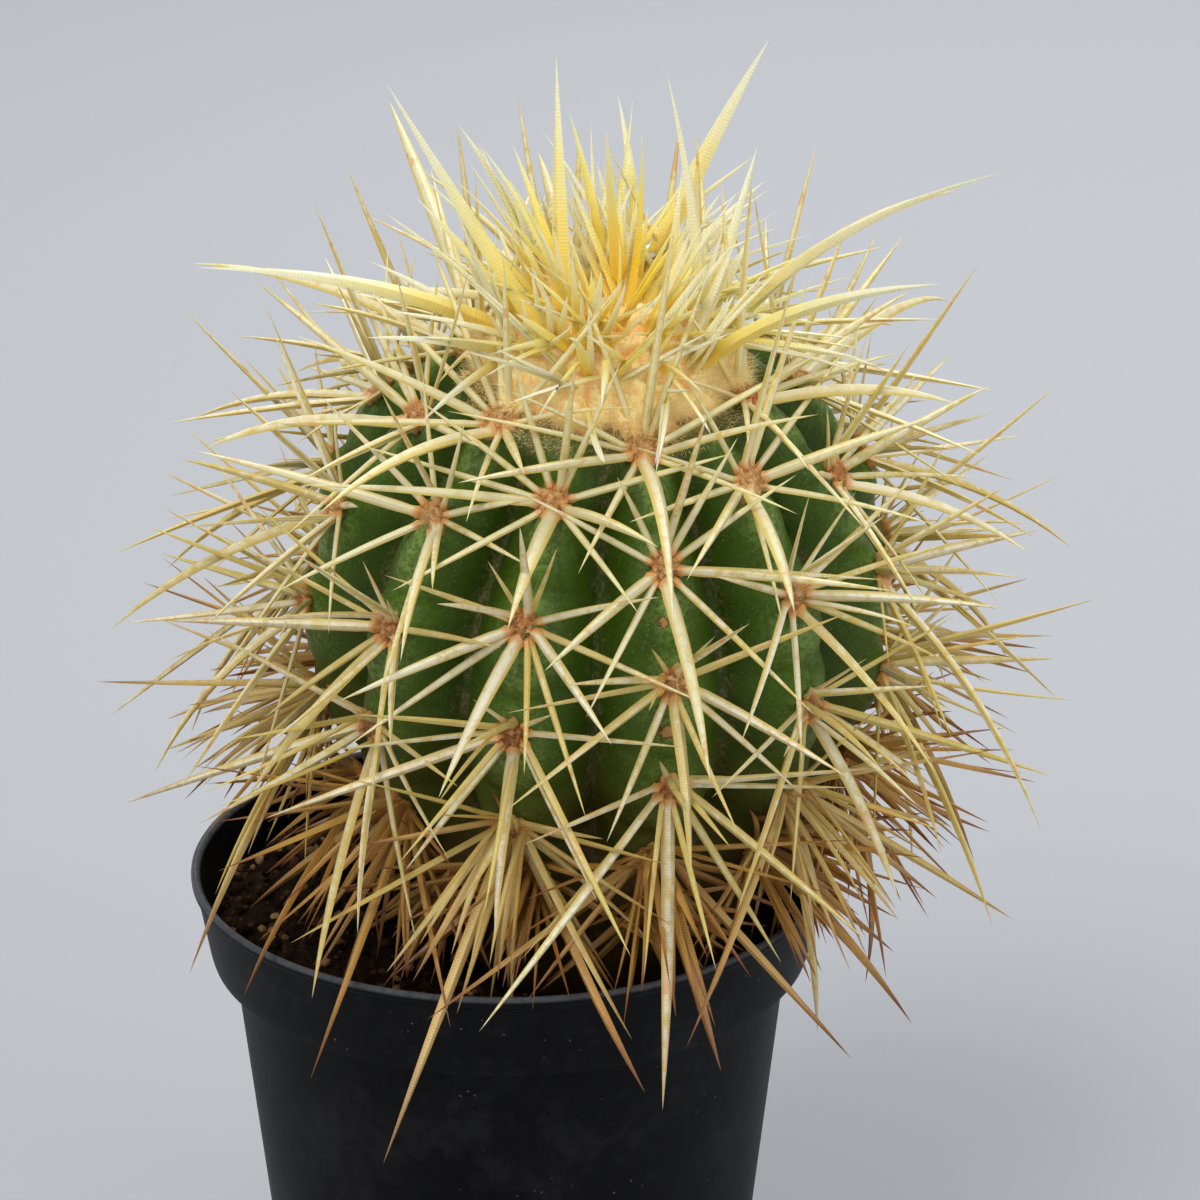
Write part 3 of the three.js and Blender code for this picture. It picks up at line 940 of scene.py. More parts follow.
    def seat(self, angle: float, azimuth: float, rib: int, row: int) -> Seat:
        """Finds the place of an areole and its directions.

        Args:
            angle: Its polar angle.
            azimuth: Its azimuth.
            rib: Its rib.
            row: Its number on that rib.

        Returns:
            The seat.
        """
        at = self.polar(angle, azimuth, self.skin_distance(angle, azimuth))
        above = self.polar(angle - 2, azimuth, self.crest_distance(angle - 2))
        below = self.polar(angle + 2, azimuth, self.crest_distance(angle + 2))
        crest = self.crest_distance(angle)
        beside = self.polar(angle, azimuth + 2, crest) - self.polar(angle, azimuth, crest)
        up = unit(above - below)
        out = unit(np.cross(unit(beside), up))
        return Seat(at, up, np.cross(up, out), out, angle, rib, row)

    def side_areoles(self) -> list[Seat]:
        """Seats the areoles on the sides of the plant.

        Returns:
            The seats of the areoles, rib by rib.
        """
        seats = []
        for rib in range(self.ribs):
            for row in range(1, self.last_row + 1):
                angle = self.first_areole(rib) + self.areole_step * row
                if angle > self.last_angle:
                    break
                azimuth = self.rib_azimuth(rib) + spread(1, rib, row, Key.AREOLE_AZIMUTH)
                angle += spread(0.7, rib, row, Key.AREOLE_ANGLE)
                seats.append(self.seat(angle, azimuth, rib, row))
        return seats


@dataclass(frozen=True)
class SpineKind:
    """A place in an areole's cluster, with the usual size of the spine that grows there."""

    turn: float
    lift: float
    length: float
    width: float
    bow: float
    vigour_limit: float = 9.0
    from_angle: float = 0.0
    young_gain: float = 1.0


@dataclass(frozen=True)
class Spine:
    """One spine in millimetres: a bent line from its root, with the way out of the skin behind it."""

    anchor: np.ndarray
    root: np.ndarray
    aim: np.ndarray
    pull: np.ndarray
    out: np.ndarray
    length: float
    width: float
    bow: float
    age: float
    tone: float

    def line(self, shares: np.ndarray) -> np.ndarray:
        """Points along the spine at shares of its length."""
        s = shares[:, None]
        return self.root + self.aim * (self.length * s) + self.pull * (self.length * self.bow) * s**2

    def tangents(self, shares: np.ndarray) -> np.ndarray:
        """Directions along the spine at shares of its length."""
        return unit(self.aim + self.pull * (2 * self.bow * shares[:, None]))


@dataclass(frozen=True)
class Clearance:
    """Heights that a spine keeps above the soil and the pot's rim, in millimetres."""

    level: float = 86.0
    rim_level: float = 93.8
    rim_inner: float = 49.1
    rim_outer: float = 54.3
    tries: int = 15
    bend: float = 0.13
    shortening: float = 0.985

    def least_height(self, points: np.ndarray) -> np.ndarray:
        """Says how high each point has to be.

        Args:
            points: Points of a spine.

        Returns:
            Their least heights: the soil's, the rim's, or none beyond the pot.
        """
        r = np.hypot(points[..., 0], points[..., 1])
        beyond = np.where(r < self.rim_outer, self.rim_level, -np.inf)
        return np.where(r < self.rim_inner, self.level, beyond)

    def bend_clear(self, spine: Spine) -> Spine | None:
        """Bends a spine up and shortens it until it is clear.

        Args:
            spine: The spine as its cluster places it.

        Returns:
            The first try that stays above the soil and the rim, or nothing.
        """
        shares = np.arange(2, 13) / 12
        straight, aim, length = spine.aim, spine.aim, spine.length
        for attempt in range(1, self.tries + 1):
            tried = replace(spine, aim=aim, length=length)
            points = tried.line(shares)
            if np.all(points[:, 2] >= self.least_height(points)):
                return tried
            aim = unit(straight + UP * (self.bend * attempt))
            length *= self.shortening
        return None


# ---- Needles and hairs --------------------------------------------------------------------------


@dataclass(frozen=True)
class NeedleForm:
    """Cross-section and mesh of a spine: a flat lens with a low keel, a root knob and a fine tip."""

    stations: int = 10
    sides: int = 8
    thickness: float = 0.62
    keel: float = 0.35
    waist: float = 0.78
    knob: float = 0.40
    knob_at: float = 0.6
    knob_places: tuple[float, ...] = (0.1, 0.6, 1.2, 1.9)
    last_share: float = 0.965
    tip_power: float = 2.5

    def add(self, builder: MeshBuilder, spine: Spine, twist: float) -> None:
        """Adds a spine to a piece.

        Args:
            builder: The piece that it goes into.
            spine: The spine, in millimetres.
            twist: Turn of the flat side from root to tip, in degrees.
        """
        near = np.array(self.knob_places) / spine.length
        far = np.linspace(near[-1] + 0.05, self.last_share, self.stations)
        shares = np.concatenate([[0.0], near, far])
        points = spine.line(shares)
        points[0] = spine.anchor
        way = spine.tangents(shares)
        across = unit(np.cross(way, spine.out))
        thick = np.cross(across, way)
        turn = np.radians(twist * shares)[:, None]
        across, thick = (across * np.cos(turn) + thick * np.sin(turn),
                         thick * np.cos(turn) - across * np.sin(turn))
        bulb = self.knob * np.exp(-(((shares * spine.length - self.knob_at) / self.knob_at) ** 2))
        waist = self.waist + (1 - self.waist) * smooth(shares, 0, 0.12)
        taper = (1 - shares**self.tip_power) ** 0.95 * waist + bulb
        half = spine.width * taper[:, None, None] / 2
        phi = turns_of(self.sides)
        lens = np.sin(phi) * np.abs(np.sin(phi)) * (1 + self.keel * np.maximum(0, np.sin(phi)) ** 4)
        flat = across[:, None, :] * np.cos(phi)[None, :, None]
        high = thick[:, None, :] * lens[None, :, None] * (self.thickness + bulb)[:, None, None]
        rings = points[:, None, :] + (flat + high) * half
        tip = spine.line(np.array([1.0]))[0]
        corners, faces = closed_rings(points[0], rings, tip)
        along = np.concatenate([[0.0], np.repeat(shares, self.sides), [1.0]])
        edge = np.concatenate([[0.0], np.tile(np.abs(np.cos(phi)), len(shares)), [1.0]])
        builder.add(corners * MM, faces, along=along, reach=along * spine.length, edge=edge,
                    age=spine.age, tone=spine.tone)


@dataclass(frozen=True)
class HairForm:
    """A three-sided hair that runs from its root to a point, and how loosely such hairs stand."""

    width: float
    sink: float
    wildness: float
    lengths: tuple[float, float]
    bend: float

    def grow(self, rng: np.random.Generator, roots: np.ndarray, normals: np.ndarray,
             ways: np.ndarray, size: np.ndarray | float) -> tuple[np.ndarray, np.ndarray, np.ndarray]:
        """Draws the hairs of a surface.

        Args:
            rng: The generator that they are drawn from.
            roots: Points of the surface, one row each, in millimetres.
            normals: The surface's normals there.
            ways: The directions that the hairs stand about.
            size: Their usual length.

        Returns:
            Roots, aims and bends for add.
        """
        count = len(roots)
        aims = unit(ways + rng.normal(size=(count, 3)) * self.wildness) * size
        aims = aims * rng.uniform(*self.lengths, (count, 1))
        return roots - normals * self.sink, aims, rng.normal(size=(count, 3)) * self.bend

    def add(self, builder: MeshBuilder, roots: np.ndarray, aims: np.ndarray, bends: np.ndarray,
            **marks: np.ndarray) -> None:
        """Adds hairs to a piece.

        Args:
            builder: The piece that they go into.
            roots: Their roots, one row each, in millimetres.
            aims: Their directions and lengths.
            bends: How far their tips are drawn aside.
            marks: Numbers for their finish, one for each hair.
        """
        side = unit(np.cross(aims, np.array([0.3, 0.5, 0.8])))
        other = unit(np.cross(aims, side))
        half = self.width / 2
        corners = [roots + side * (half * math.cos(t)) + other * (half * math.sin(t))
                   for t in (0.0, 2 * math.pi / 3, 4 * math.pi / 3)]
        points = np.stack([*corners, roots + aims + bends], 1).reshape(-1, 3)
        faces = [(low + i, low + 3, low + (i + 1) % 3)
                 for low in range(0, len(points), 4) for i in range(3)]
        builder.add(points * MM, faces, **{name: np.repeat(value, 4) for name, value in marks.items()})


# ---- The plant's pieces -------------------------------------------------------------------------


@dataclass
class CactusBody:
    """The green body: ribs, grooves, bulges between the areoles, and the foot in the soil."""

    plant: Plant
    columns_per_rib: int = 20
    rows: int = 176
    inner_angle: float = 12.0
    last_angle: float = 157.0
    lump: float = 0.22
    wrinkle: float = 0.10
    scars: tuple[tuple[float, float, float], ...] = (
        (82.0, 13.2, 1.4), (61.0, 13.0, 0.9), (109.0, -21.0, 1.0), (118.0, 41.0, 1.4),
        (96.0, 72.0, 1.1), (112.0, 197.0, 1.5), (70.0, 233.0, 0.9), (104.0, 290.0, 1.2),
    )

    def build(self) -> bpy.types.Object:
        """Builds the skin as one closed mesh.

        Returns:
            The piece.
        """
        plant, rim = self.plant, self.plant.crater_rim
        sides = np.linspace(rim + 1, self.last_angle, self.rows)
        angles = np.concatenate([[self.inner_angle, rim], sides])
        azimuths = plant.rib_azimuth(-0.5) + np.arange(plant.ribs * self.columns_per_rib) * (
            360 / plant.ribs / self.columns_per_rib)
        angle, azimuth = np.meshgrid(angles, azimuths, indexing="ij")
        rib, aside = plant.rib_share(azimuth)
        distance = plant.skin_distance(angle, azimuth)
        plain = plant.polar(angle, azimuth, distance)
        lumps = Ripple(16, 3).at(plain) * self.lump
        wrinkles = Ripple(4, 4).at(plain) * self.wrinkle * smooth(angle, 60, 130)
        rings = plant.polar(angle, azimuth, distance + lumps + wrinkles)
        edge = plant.foot_edge
        foot = [self._foot_ring(azimuths, plant.foot_radius + edge, plant.foot_depth - edge),
                self._foot_ring(azimuths, plant.foot_radius, plant.foot_depth)]
        rings = np.concatenate([rings, np.stack(foot)])
        apex = plant.polar(0, 0, plant.crater_depth)
        end = plant.middle - UP * plant.foot_depth
        swell = np.clip(plant.swell(angle, rib), 0, 1)
        chin = swell * np.clip(1 - aside * 1.15, 0, 1) * smooth(angle, 24, 34)
        points, faces = closed_rings(apex, rings, end)
        builder = MeshBuilder()
        builder.add(points * MM, faces, crest=self._padded(1 - aside, 0), chin=self._padded(chin, 0),
                    down=self._padded(angle / self.last_angle, 1),
                    scar=self._padded(self._scarred(plain), 0))
        piece = builder.build("cactus_body", SkinFinish().material(), Slot.SKIN)
        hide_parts("cactus")
        return piece

    def _scarred(self, points: np.ndarray) -> np.ndarray:
        """Says how close each point is to a dry scar.

        Args:
            points: Points of the skin.

        Returns:
            Numbers from 0 to 1: 1 in a scar's middle, a half at its edge.
        """
        mark = np.zeros(points.shape[:-1])
        for angle, azimuth, radius in self.scars:
            spot = self.plant.polar(angle, azimuth, self.plant.skin_distance(angle, azimuth))
            apart = np.linalg.norm(points - spot, axis=-1) / radius
            mark = np.maximum(mark, np.clip(1 - 0.5 * apart, 0, 1))
        return mark

    def _foot_ring(self, azimuths: np.ndarray, radius: float, depth: float) -> np.ndarray:
        """A round ring of the buried foot.

        Args:
            azimuths: Azimuths of its points.
            radius: Its radius.
            depth: How far it is below the plant's centre.

        Returns:
            The points, one row each.
        """
        a = np.radians(azimuths)
        ring = np.stack([radius * np.sin(a), -radius * np.cos(a), np.full_like(a, -depth)], -1)
        return ring + self.plant.middle

    @staticmethod
    def _padded(grid: np.ndarray, foot: float) -> np.ndarray:
        """A mark for every point of the skin: the apex, the grid, the foot's two rings and its end."""
        size = grid.shape[1]
        return np.concatenate([[grid[0].mean()], grid.ravel(), np.full(2 * size + 1, float(foot))])


@dataclass
class SideSpines:
    """Every spine of the areoles on the sides, by the rules that place those of the solid."""

    plant: Plant
    clearance: Clearance
    areole_radius: float = 2.2
    kinds: tuple[SpineKind, ...] = tuple(SpineKind(*row) for row in (
        (180, 50, 37, 2.15, 0.26), (-112, 34, 33, 1.7, 0.08),
        (112, 47, 33, 1.7, 0.08), (4, 62, 29, 1.6, -0.04, 1.08),
        (-140, 19, 27, 1.28, 0.06, 1.08), (140, 27, 27, 1.28, 0.06, 1.08),
        (-66, 31, 25, 1.22, 0.05, 1.08), (66, 20, 25, 1.22, 0.05, 1.08),
        (-90, 22, 26, 1.15, 0.05, 1.08), (92, 18, 27, 1.15, 0.06, 1.08),
        (-26, 34, 10, 0.85, 0.05, 1.08, 0, 2.4), (30, 40, 12, 0.9, -0.05, 1.08, 0, 2.2),
        (-162, 34, 26, 1.3, 0.0, 1.08, 100), (158, 42, 27, 1.3, 0.0, 1.08, 100),
        (-122, 52, 28, 1.5, -0.03, 1.08, 100), (126, 34, 28, 1.5, -0.03, 1.08, 100),
        (-48, 42, 24, 1.3, -0.04, 1.08, 100), (46, 52, 24, 1.3, -0.04, 1.08, 100),
        (-80, 62, 26, 1.2, 0.08, 1.08, 100), (84, 66, 26, 1.2, 0.08, 1.08, 100),
        (-150, 64, 31, 1.4, 0.06, 1.08, 100), (148, 60, 31, 1.4, 0.06, 1.08, 100),
        (172, 80, 30, 1.4, 0.02, 1.08, 100), (-60, 74, 27, 1.2, 0.04, 1.08, 100),
        (62, 80, 27, 1.2, 0.0, 1.08, 100), (176, 24, 24, 1.2, 0.0, 1.08, 100),
        (-12, 24, 20, 1.1, 0.05, 1.08, 100), (-38, 62, 28, 1.25, 0.06, 1.08, 58),
        (152, 70, 26, 1.2, 0.05, 1.08, 58), (-154, 74, 26, 1.2, 0.04, 1.08, 80),
    ))
    vigour_angles: tuple[float, ...] = (15, 40, 75, 100, 118, 130, 142)
    vigour_shares: tuple[float, ...] = (1.1, 1.05, 1.0, 1.3, 1.2, 0.85, 0.6)
    # Rib, row, turn, lift, length and bow of each long spine that the photo shows.
    long_spines: tuple[tuple[float, ...], ...] = (
        (0, 1, -170, 52, 46, 0.45), (0, 2, -176, 48, 39, 0.24), (0, 3, -173, 49, 30, 0.27),
        (0, 4, -168, 48, 48, 0.12), (0, 5, 163, 72, 36, 0.04), (1, 1, -133, 45, 36, 0.2),
        (1, 2, 180, 49, 35, 0.18), (1, 3, 179, 48, 32, 0.19), (1, 4, -172, 46, 39, 0.13),
        (1, 5, 125, 49, 42, 0.15), (2, 3, -143, 43, 47, 0.23), (2, 4, -130, 46, 44, 0.13),
        (3, 1, 129, 49, 50, 0.4), (4, 1, -169, 56, 58, 0.29), (7, 1, -137, 58, 50, 0.09),
        (8, 1, -177, 49, 53, 0.26), (9, 4, 120, 50, 50, 0.1), (9, 5, 104, 46, 49, 0.12),
        (10, 2, 119, 48, 44, 0.12), (10, 3, -172, 48, 33, 0.18), (10, 4, 154, 48, 42, 0.12),
        (10, 5, 114, 66, 48, 0), (11, 1, 175, 51, 34, 0.16), (11, 2, -168, 50, 31, 0.17),
        (11, 3, 171, 49, 30, 0.18), (11, 4, -166, 64, 56, 0.02), (11, 5, 111, 59, 46, 0.24),
    )
    solid_widths: tuple[float, ...] = (2.4, 2.0, 2.0, 1.9, 1.6, 1.6, 1.6, 1.6, 1.5, 1.5)
    twist: float = 38.0
    root_depth: float = 0.9
    young_angles: tuple[float, float] = (36.0, 74.0)
    old_angles: tuple[float, float] = (95.0, 126.0)
    widening_angles: tuple[float, float] = (84.0, 110.0)
    low_angle: float = 94.0
    low_wildness: float = 3.3
    low_limit: float = 29.0
    least_lift: float = 8.0

    def youth(self, seat: Seat) -> float:
        """How young an areole is, from 0 far down to 1 next to the crown."""
        return 1 - float(smooth(seat.angle, *self.young_angles))

    def form(self, seat: Seat, kind: int) -> tuple[float, float, float, float]:
        """Shapes one spine, with its own small differences.

        Args:
            seat: Its areole.
            kind: Its number in the cluster.

        Returns:
            Its turn, lift, length and bow.
        """
        rib, row = seat.rib, seat.row
        for long in self.long_spines:
            if kind == 0 and long[:2] == (rib, row):
                return long[2:]
        usual = self.kinds[kind]
        vigour = float(np.interp(seat.angle, self.vigour_angles, self.vigour_shares))
        vigour = min(vigour, usual.vigour_limit) * (1 + (usual.young_gain - 1) * self.youth(seat))
        length = usual.length * vigour * (1 + spread(0.14, rib, row, kind, Key.LENGTH))
        wild = 1.0
        if usual.from_angle > 0:
            wild = self.low_wildness
            length = min(length, self.low_limit)
        turn = usual.turn + spread(9 * wild, rib, row, kind, Key.TURN)
        lift = max(usual.lift + spread(8 * wild, rib, row, kind, Key.LIFT), self.least_lift)
        return turn, lift, length, usual.bow + spread(0.06 * wild, rib, row, kind, Key.BOW)

    def width(self, seat: Seat, kind: int) -> float:
        """Sizes one spine; the first one under the crown is a broad ribbon.

        Args:
            seat: Its areole.
            kind: Its number in the cluster.

        Returns:
            Its width.
        """
        gain = 1 + (self.kinds[kind].young_gain - 1) * 0.4 * self.youth(seat)
        if 4 <= kind < 10:
            gain += 0.18 * float(smooth(seat.angle, *self.widening_angles))
        broad = 1.25 if kind == 0 and seat.row == 1 else gain
        return self.kinds[kind].width * broad * (1 + spread(0.12, seat.rib, seat.row, kind, Key.WIDTH))

    def spine(self, seat: Seat, kind: int) -> Spine | None:
        """Grows one spine of an areole, bent clear of the pot and the soil.

        Args:
            seat: The areole.
            kind: Its number in the cluster.

        Returns:
            The spine, or nothing where none has room.
        """
        turn, lift, length, bow = self.form(seat, kind)
        t, u = math.radians(turn), math.radians(lift)
        flat = seat.up * math.cos(t) + seat.side * math.sin(t)
        aim = flat * math.cos(u) + seat.out * math.sin(u)
        pull = unit(-0.8 * seat.out - 0.6 * UP)
        age = (float(smooth(seat.angle, *self.old_angles)) * 0.75
               + 0.25 * draw(seat.rib, seat.row, kind, Key.AGE) - 0.45 * self.youth(seat))
        anchor = seat.at + flat * 0.5 - seat.out * self.root_depth
        spine = Spine(anchor, seat.at + flat * self.areole_radius, aim, pull, seat.out, length,
                      self.width(seat, kind), bow, age, draw(seat.rib, seat.row, kind, Key.TONE))
        return self.clearance.bend_clear(spine)

    def solid_spines(self) -> list[Spine]:
        """Lists the spines that the solid has too, which the crown's spines keep clear of.

        Returns:
            The spines, at the widths that the solid gives them.
        """
        spines = []
        for seat in self.plant.side_areoles():
            for kind in (0, 1, 2, 3, 4, 5, *((6, 9), (7, 8))[seat.row % 2]):
                spine = self.spine(seat, kind)
                if spine is not None:
                    spines.append(replace(spine, width=self.solid_widths[kind]))
        return spines

    def build(self) -> list[bpy.types.Object]:
        """Builds the spines of the upper areoles as one piece and those of the low ones as another.

        Returns:
            The two pieces.
        """
        upper, lower = MeshBuilder(), MeshBuilder()
        stout, slim = NeedleForm(), NeedleForm(stations=8, sides=6)
        for seat in self.plant.side_areoles():
            missing = 8 + seat.row % 2
            builder = lower if seat.angle > self.low_angle else upper
            for kind, usual in enumerate(self.kinds):
                grows = seat.angle > usual.from_angle and kind != missing
                spine = self.spine(seat, kind) if grows else None
                if spine is not None:
                    form = stout if kind < 4 else slim
                    form.add(builder, spine, spread(self.twist, seat.rib, seat.row, kind, Key.TWIST))
        material = SpineFinish().material()
        return [upper.build("side_spines", material, Slot.SPINES, SHARP),
                lower.build("low_spines", material, Slot.SPINES, SHARP)]


@dataclass
class AreoleFelt:
    """A pad of matted brown felt under each cluster of side spines."""

    plant: Plant
    length: float = 2.8
    breadth: float = 2.4
    height: float = 1.2
    old_share: float = 0.66
    rings: int = 7
    segments: int = 18
    hairs: int = 520
    hair_length: float = 1.15
    grown_angles: tuple[float, float] = (30.0, 62.0)
    old_angles: tuple[float, float] = (80.0, 135.0)

    def build(self) -> bpy.types.Object:
        """Builds the pads and their hair as one piece.

        Returns:
            The piece.
        """
        builder = MeshBuilder()
        noise = Ripple(1.6, 5)
        hair = HairForm(0.10, sink=0.15, wildness=0.5, lengths=(0.3, 1.3), bend=0.12)
        for number, seat in enumerate(self.plant.side_areoles()):
            rng = np.random.default_rng(SEED + number)
            tone = 0.20 + 0.5 * draw(number, Key.FELT_TONE)
            old = float(smooth(seat.angle, *self.old_angles))
            self._add_pad(builder, seat, noise, tone, old)
            reach, turn = np.sqrt(rng.random(self.hairs)), rng.uniform(0, 2 * math.pi, self.hairs)
            roots, normals = self._dome(seat, reach, turn)
            grown = hair.grow(rng, roots, normals, normals, self.hair_length)
            hair.add(builder, *grown, edge=0.35 * reach + 0.55 * old,
                     tone=tone + rng.uniform(-0.3, 0.6, self.hairs))
        finish = FeltFinish("brown_felt", inner=(0.580, 0.170, 0.045), outer=(0.860, 0.560, 0.240),
                            dusty=(0.470, 0.260, 0.080), grain=0.7 * MM)
        return builder.build("areole_felt", finish.material(), Slot.FELT)

    def _dome(self, seat: Seat, reach: np.ndarray, turn: np.ndarray) -> tuple[np.ndarray, np.ndarray]:
        """Points of a pad and their normals.

        Args:
            seat: The areole.
            reach: Shares of the pad's radius.
            turn: Turns about the pad's middle, in radians.

        Returns:
            The points and the normals, one row each.
        """
        share = 1 - (1 - self.old_share) * float(smooth(seat.angle, *self.grown_angles))
        reach, turn = np.broadcast_arrays(reach, turn)
        reach, turn = reach[..., None], turn[..., None]
        flat = seat.up * (np.cos(turn) * self.length) + seat.side * (np.sin(turn) * self.breadth)
        flat = flat * share
        arch = np.sqrt(np.maximum(0, 1 - reach**2))
        normals = unit(flat * reach / 9 + seat.out * np.maximum(0.14, arch) / 2)
        return seat.at + flat * reach + seat.out * (self.height * share * arch - 0.25), normals

    def _add_pad(self, builder: MeshBuilder, seat: Seat, noise: Ripple, tone: float,
                 old: float) -> None:
        """Adds one lumpy pad, sunk a little into the skin.

        Args:
            builder: The piece that it goes into.
            seat: Its areole.
            noise: Its lumps.
            tone: Its tone, from 0 to 1.
            old: Its age, from 0 to 1.
        """
        reach = np.sin(math.pi / 2 * np.arange(1, self.rings + 1) / self.rings)[:, None]
        points, normals = self._dome(seat, reach, turns_of(self.segments, -1))
        rings = points + normals * 0.38 * noise.at(points)[..., None]
        rings = np.concatenate([rings, rings[-1:] - seat.out * 1.6])
        top = self._dome(seat, np.zeros(1), np.zeros(1))[0][0]
        corners, faces = closed_rings(top, rings, seat.at - seat.out * 2)
        edges = np.repeat(0.35 * reach[:, 0] + 0.55 * old, self.segments)
        rest = np.full(self.segments + 1, 0.9)
        builder.add(corners * MM, faces, edge=np.concatenate([[0.55 * old], edges, rest]), tone=tone)


@dataclass
class Crown:
    """The crown: a woolly dome in the sunken apex and the tuft of young spines on it."""

    plant: Plant
    others: list[Spine]
    outer_angle: float = 19.0
    inner_areoles: int = 11
    solid_spines_each: int = 4
    wild_spines_each: int = 8
    length: float = 28.0
    width: float = 2.2
    lean: float = 6.0
    lean_range: float = 36.0
    wild_lean_range: float = 62.0
    turn_range: float = 95.0
    bow_range: float = 0.2
    twist: float = 75.0
    gap: float = 0.35
    tries: int = 16
    root_distance: float = 48.3
    facing: tuple[float, float, float] = (0.15, -1.0, 0.1)
    wool_radii: tuple[float, ...] = (0.0, 6.0, 11.0, 14.5, 16.9, 18.5, 18.2, 17.0)
    wool_heights: tuple[float, ...] = (50.3, 50.1, 49.6, 48.8, 47.6, 45.6, 43.8, 41.2)
    wool_rings: int = 45
    wool_segments: int = 96
    wool_hairs: int = 46000
    hairy_share: float = 0.88
    fringe_hairs: int = 11000
    fringe_start: float = 22.6
    fringe_width: float = 7.5
    # At this radius one degree is one millimetre.
    degree_radius: float = 57.3
    # Root angle and azimuth, lean, direction, length, width and bow of each long one in the photo.
    long_spines: tuple[tuple[float, ...], ...] = (
        (18, 164, 28, 133, 46, 3.3, 0.07), (9, 282, 26, 188, 44, 2.9, -0.01),
        (18, 84, 15, 201, 45, 2.6, 0.11), (13, 320, 40, 243, 52, 2.8, -0.04),
        (17, 264, 57, 284, 53, 2.8, 0.23), (19, 97, 30, 78, 58, 2.9, 0.3),
        (17, 55, 36, 52, 50, 2.6, 0.3), (10, 165, 22, 338, 40, 2.5, -0.09),
    )

    def areoles(self) -> list[tuple[float, float]]:
        """Places the crowded young areoles.

        Returns:
            Angle and azimuth of each.
        """
        plant = self.plant
        outer = [(plant.odd_rib - 1, plant.rib_azimuth(rib)) for rib in range(1, plant.ribs, 2)]
        count = self.inner_areoles
        inner = [(13 * math.sqrt((i + 0.3) / count), GOLDEN_ANGLE * i) for i in range(count)]
        return outer + inner

    def forms(self) -> list[tuple[float, ...]]:
        """Shapes the crown spines that the solid has too.

        Returns:
            Root, direction, length, width and bow of each.
        """
        forms = list(self.long_spines)
        for number, (angle, azimuth) in enumerate(self.areoles()):
            for i in range(self.solid_spines_each):
                forms.append((
                    angle,
                    azimuth + spread(6, number, i, Key.YOUNG_AZIMUTH),
                    angle * 1.1 + self.lean + self.lean_range * draw(number, i, Key.YOUNG_LEAN),
                    azimuth + spread(self.turn_range, number, i, Key.YOUNG_TURN),
                    self.length * (0.6 + 0.6 * draw(number, i, Key.YOUNG_LENGTH)),
                    self.width * (0.75 + 0.4 * draw(number, i, Key.YOUNG_WIDTH)),
                    spread(self.bow_range, number, i, Key.YOUNG_BOW),
                ))
        return forms

    def wild_forms(self) -> list[tuple[float, ...]]:
        """Shapes the finer spines between them, which lean every way and bend more.

        Returns:
            Root, direction, length, width and bow of each.
        """
        forms = []
        for number, (angle, azimuth) in enumerate(self.areoles()):
            for i in range(self.wild_spines_each):
                share = draw(number, i, Key.FINE_LENGTH)
                forms.append((
                    angle + spread(1.5, number, i, Key.FINE_ANGLE),
                    azimuth + spread(10, number, i, Key.FINE_AZIMUTH),
                    angle * 1.3 + self.lean + self.wild_lean_range * draw(number, i, Key.FINE_LEAN),
                    azimuth + spread(130, number, i, Key.FINE_TURN),
                    self.length * (0.58 + 0.62 * share),
                    self.width * (0.42 + 0.28 * share + 0.30 * draw(number, i, Key.FINE_WIDTH)),
                    spread(0.30, number, i, Key.FINE_BOW),
                ))
        return forms

    def spine(self, number: int, form: tuple[float, ...]) -> Spine | None:
        """A crown spine, turned a little about the axis until it is clear of the side spines.

        Args:
            number: Its number, from which its tone is drawn.
            form: Its root, direction, length, width and bow.

        Returns:
            The spine, its flat side to the front if it is one of the long ones and outward if not.
        """
        angle, azimuth, away, towards, length, width, bow = form
        plant = self.plant
        root = plant.polar(angle, azimuth, self.root_distance)
        out = plant.heading(angle, azimuth)
        for attempt in range(self.tries):
            aim = plant.heading(away, towards + 6 * attempt)
            pull = -unit(np.cross(np.cross(aim, out), aim))
            face = self.facing if number < len(self.long_spines) else plant.heading(88, towards)
            spine = Spine(root - out * 3, root, aim, pull, face, length, width, bow,
                          float(angle / self.outer_angle), draw(number, Key.YOUNG_TONE))
            if all(self._air(spine, other) > self.gap for other in self.others):
                return spine
        return None

    def _air(self, one: Spine, other: Spine) -> float:
        """Measures the room between two spines.

        Args:
            one: A spine.
            other: Another spine, taken as two straight halves.

        Returns:
            The shortest way between them, less what their widths take.
        """
        points = one.line(np.linspace(0, 1, 21))
        ends = other.line(np.array([0.0, 0.5, 1.0]))
        least = math.inf
        for start, end in ((ends[0], ends[1]), (ends[1], ends[2])):
            way = end - start
            share = np.clip((points - start) @ way / (way @ way), 0, 1)[:, None]
            least = min(least, float(np.linalg.norm(points - start - way * share, axis=1).min()))
        return least - 0.6 * (one.width + other.width)

    def build_spines(self) -> bpy.types.Object:
        """Builds the tuft as one piece.

        Returns:
            The piece.
        """
        builder = MeshBuilder()
        form = NeedleForm(thickness=0.5, knob=0.0)
        for number, numbers in enumerate(self.forms() + self.wild_forms()):
            spine = self.spine(number, numbers)
            if spine is not None:
                form.add(builder, spine, spread(self.twist, number, Key.YOUNG_TWIST))
        return builder.build("crown_spines", CrownSpineFinish().material(), Slot.CROWN_SPINES, SHARP)

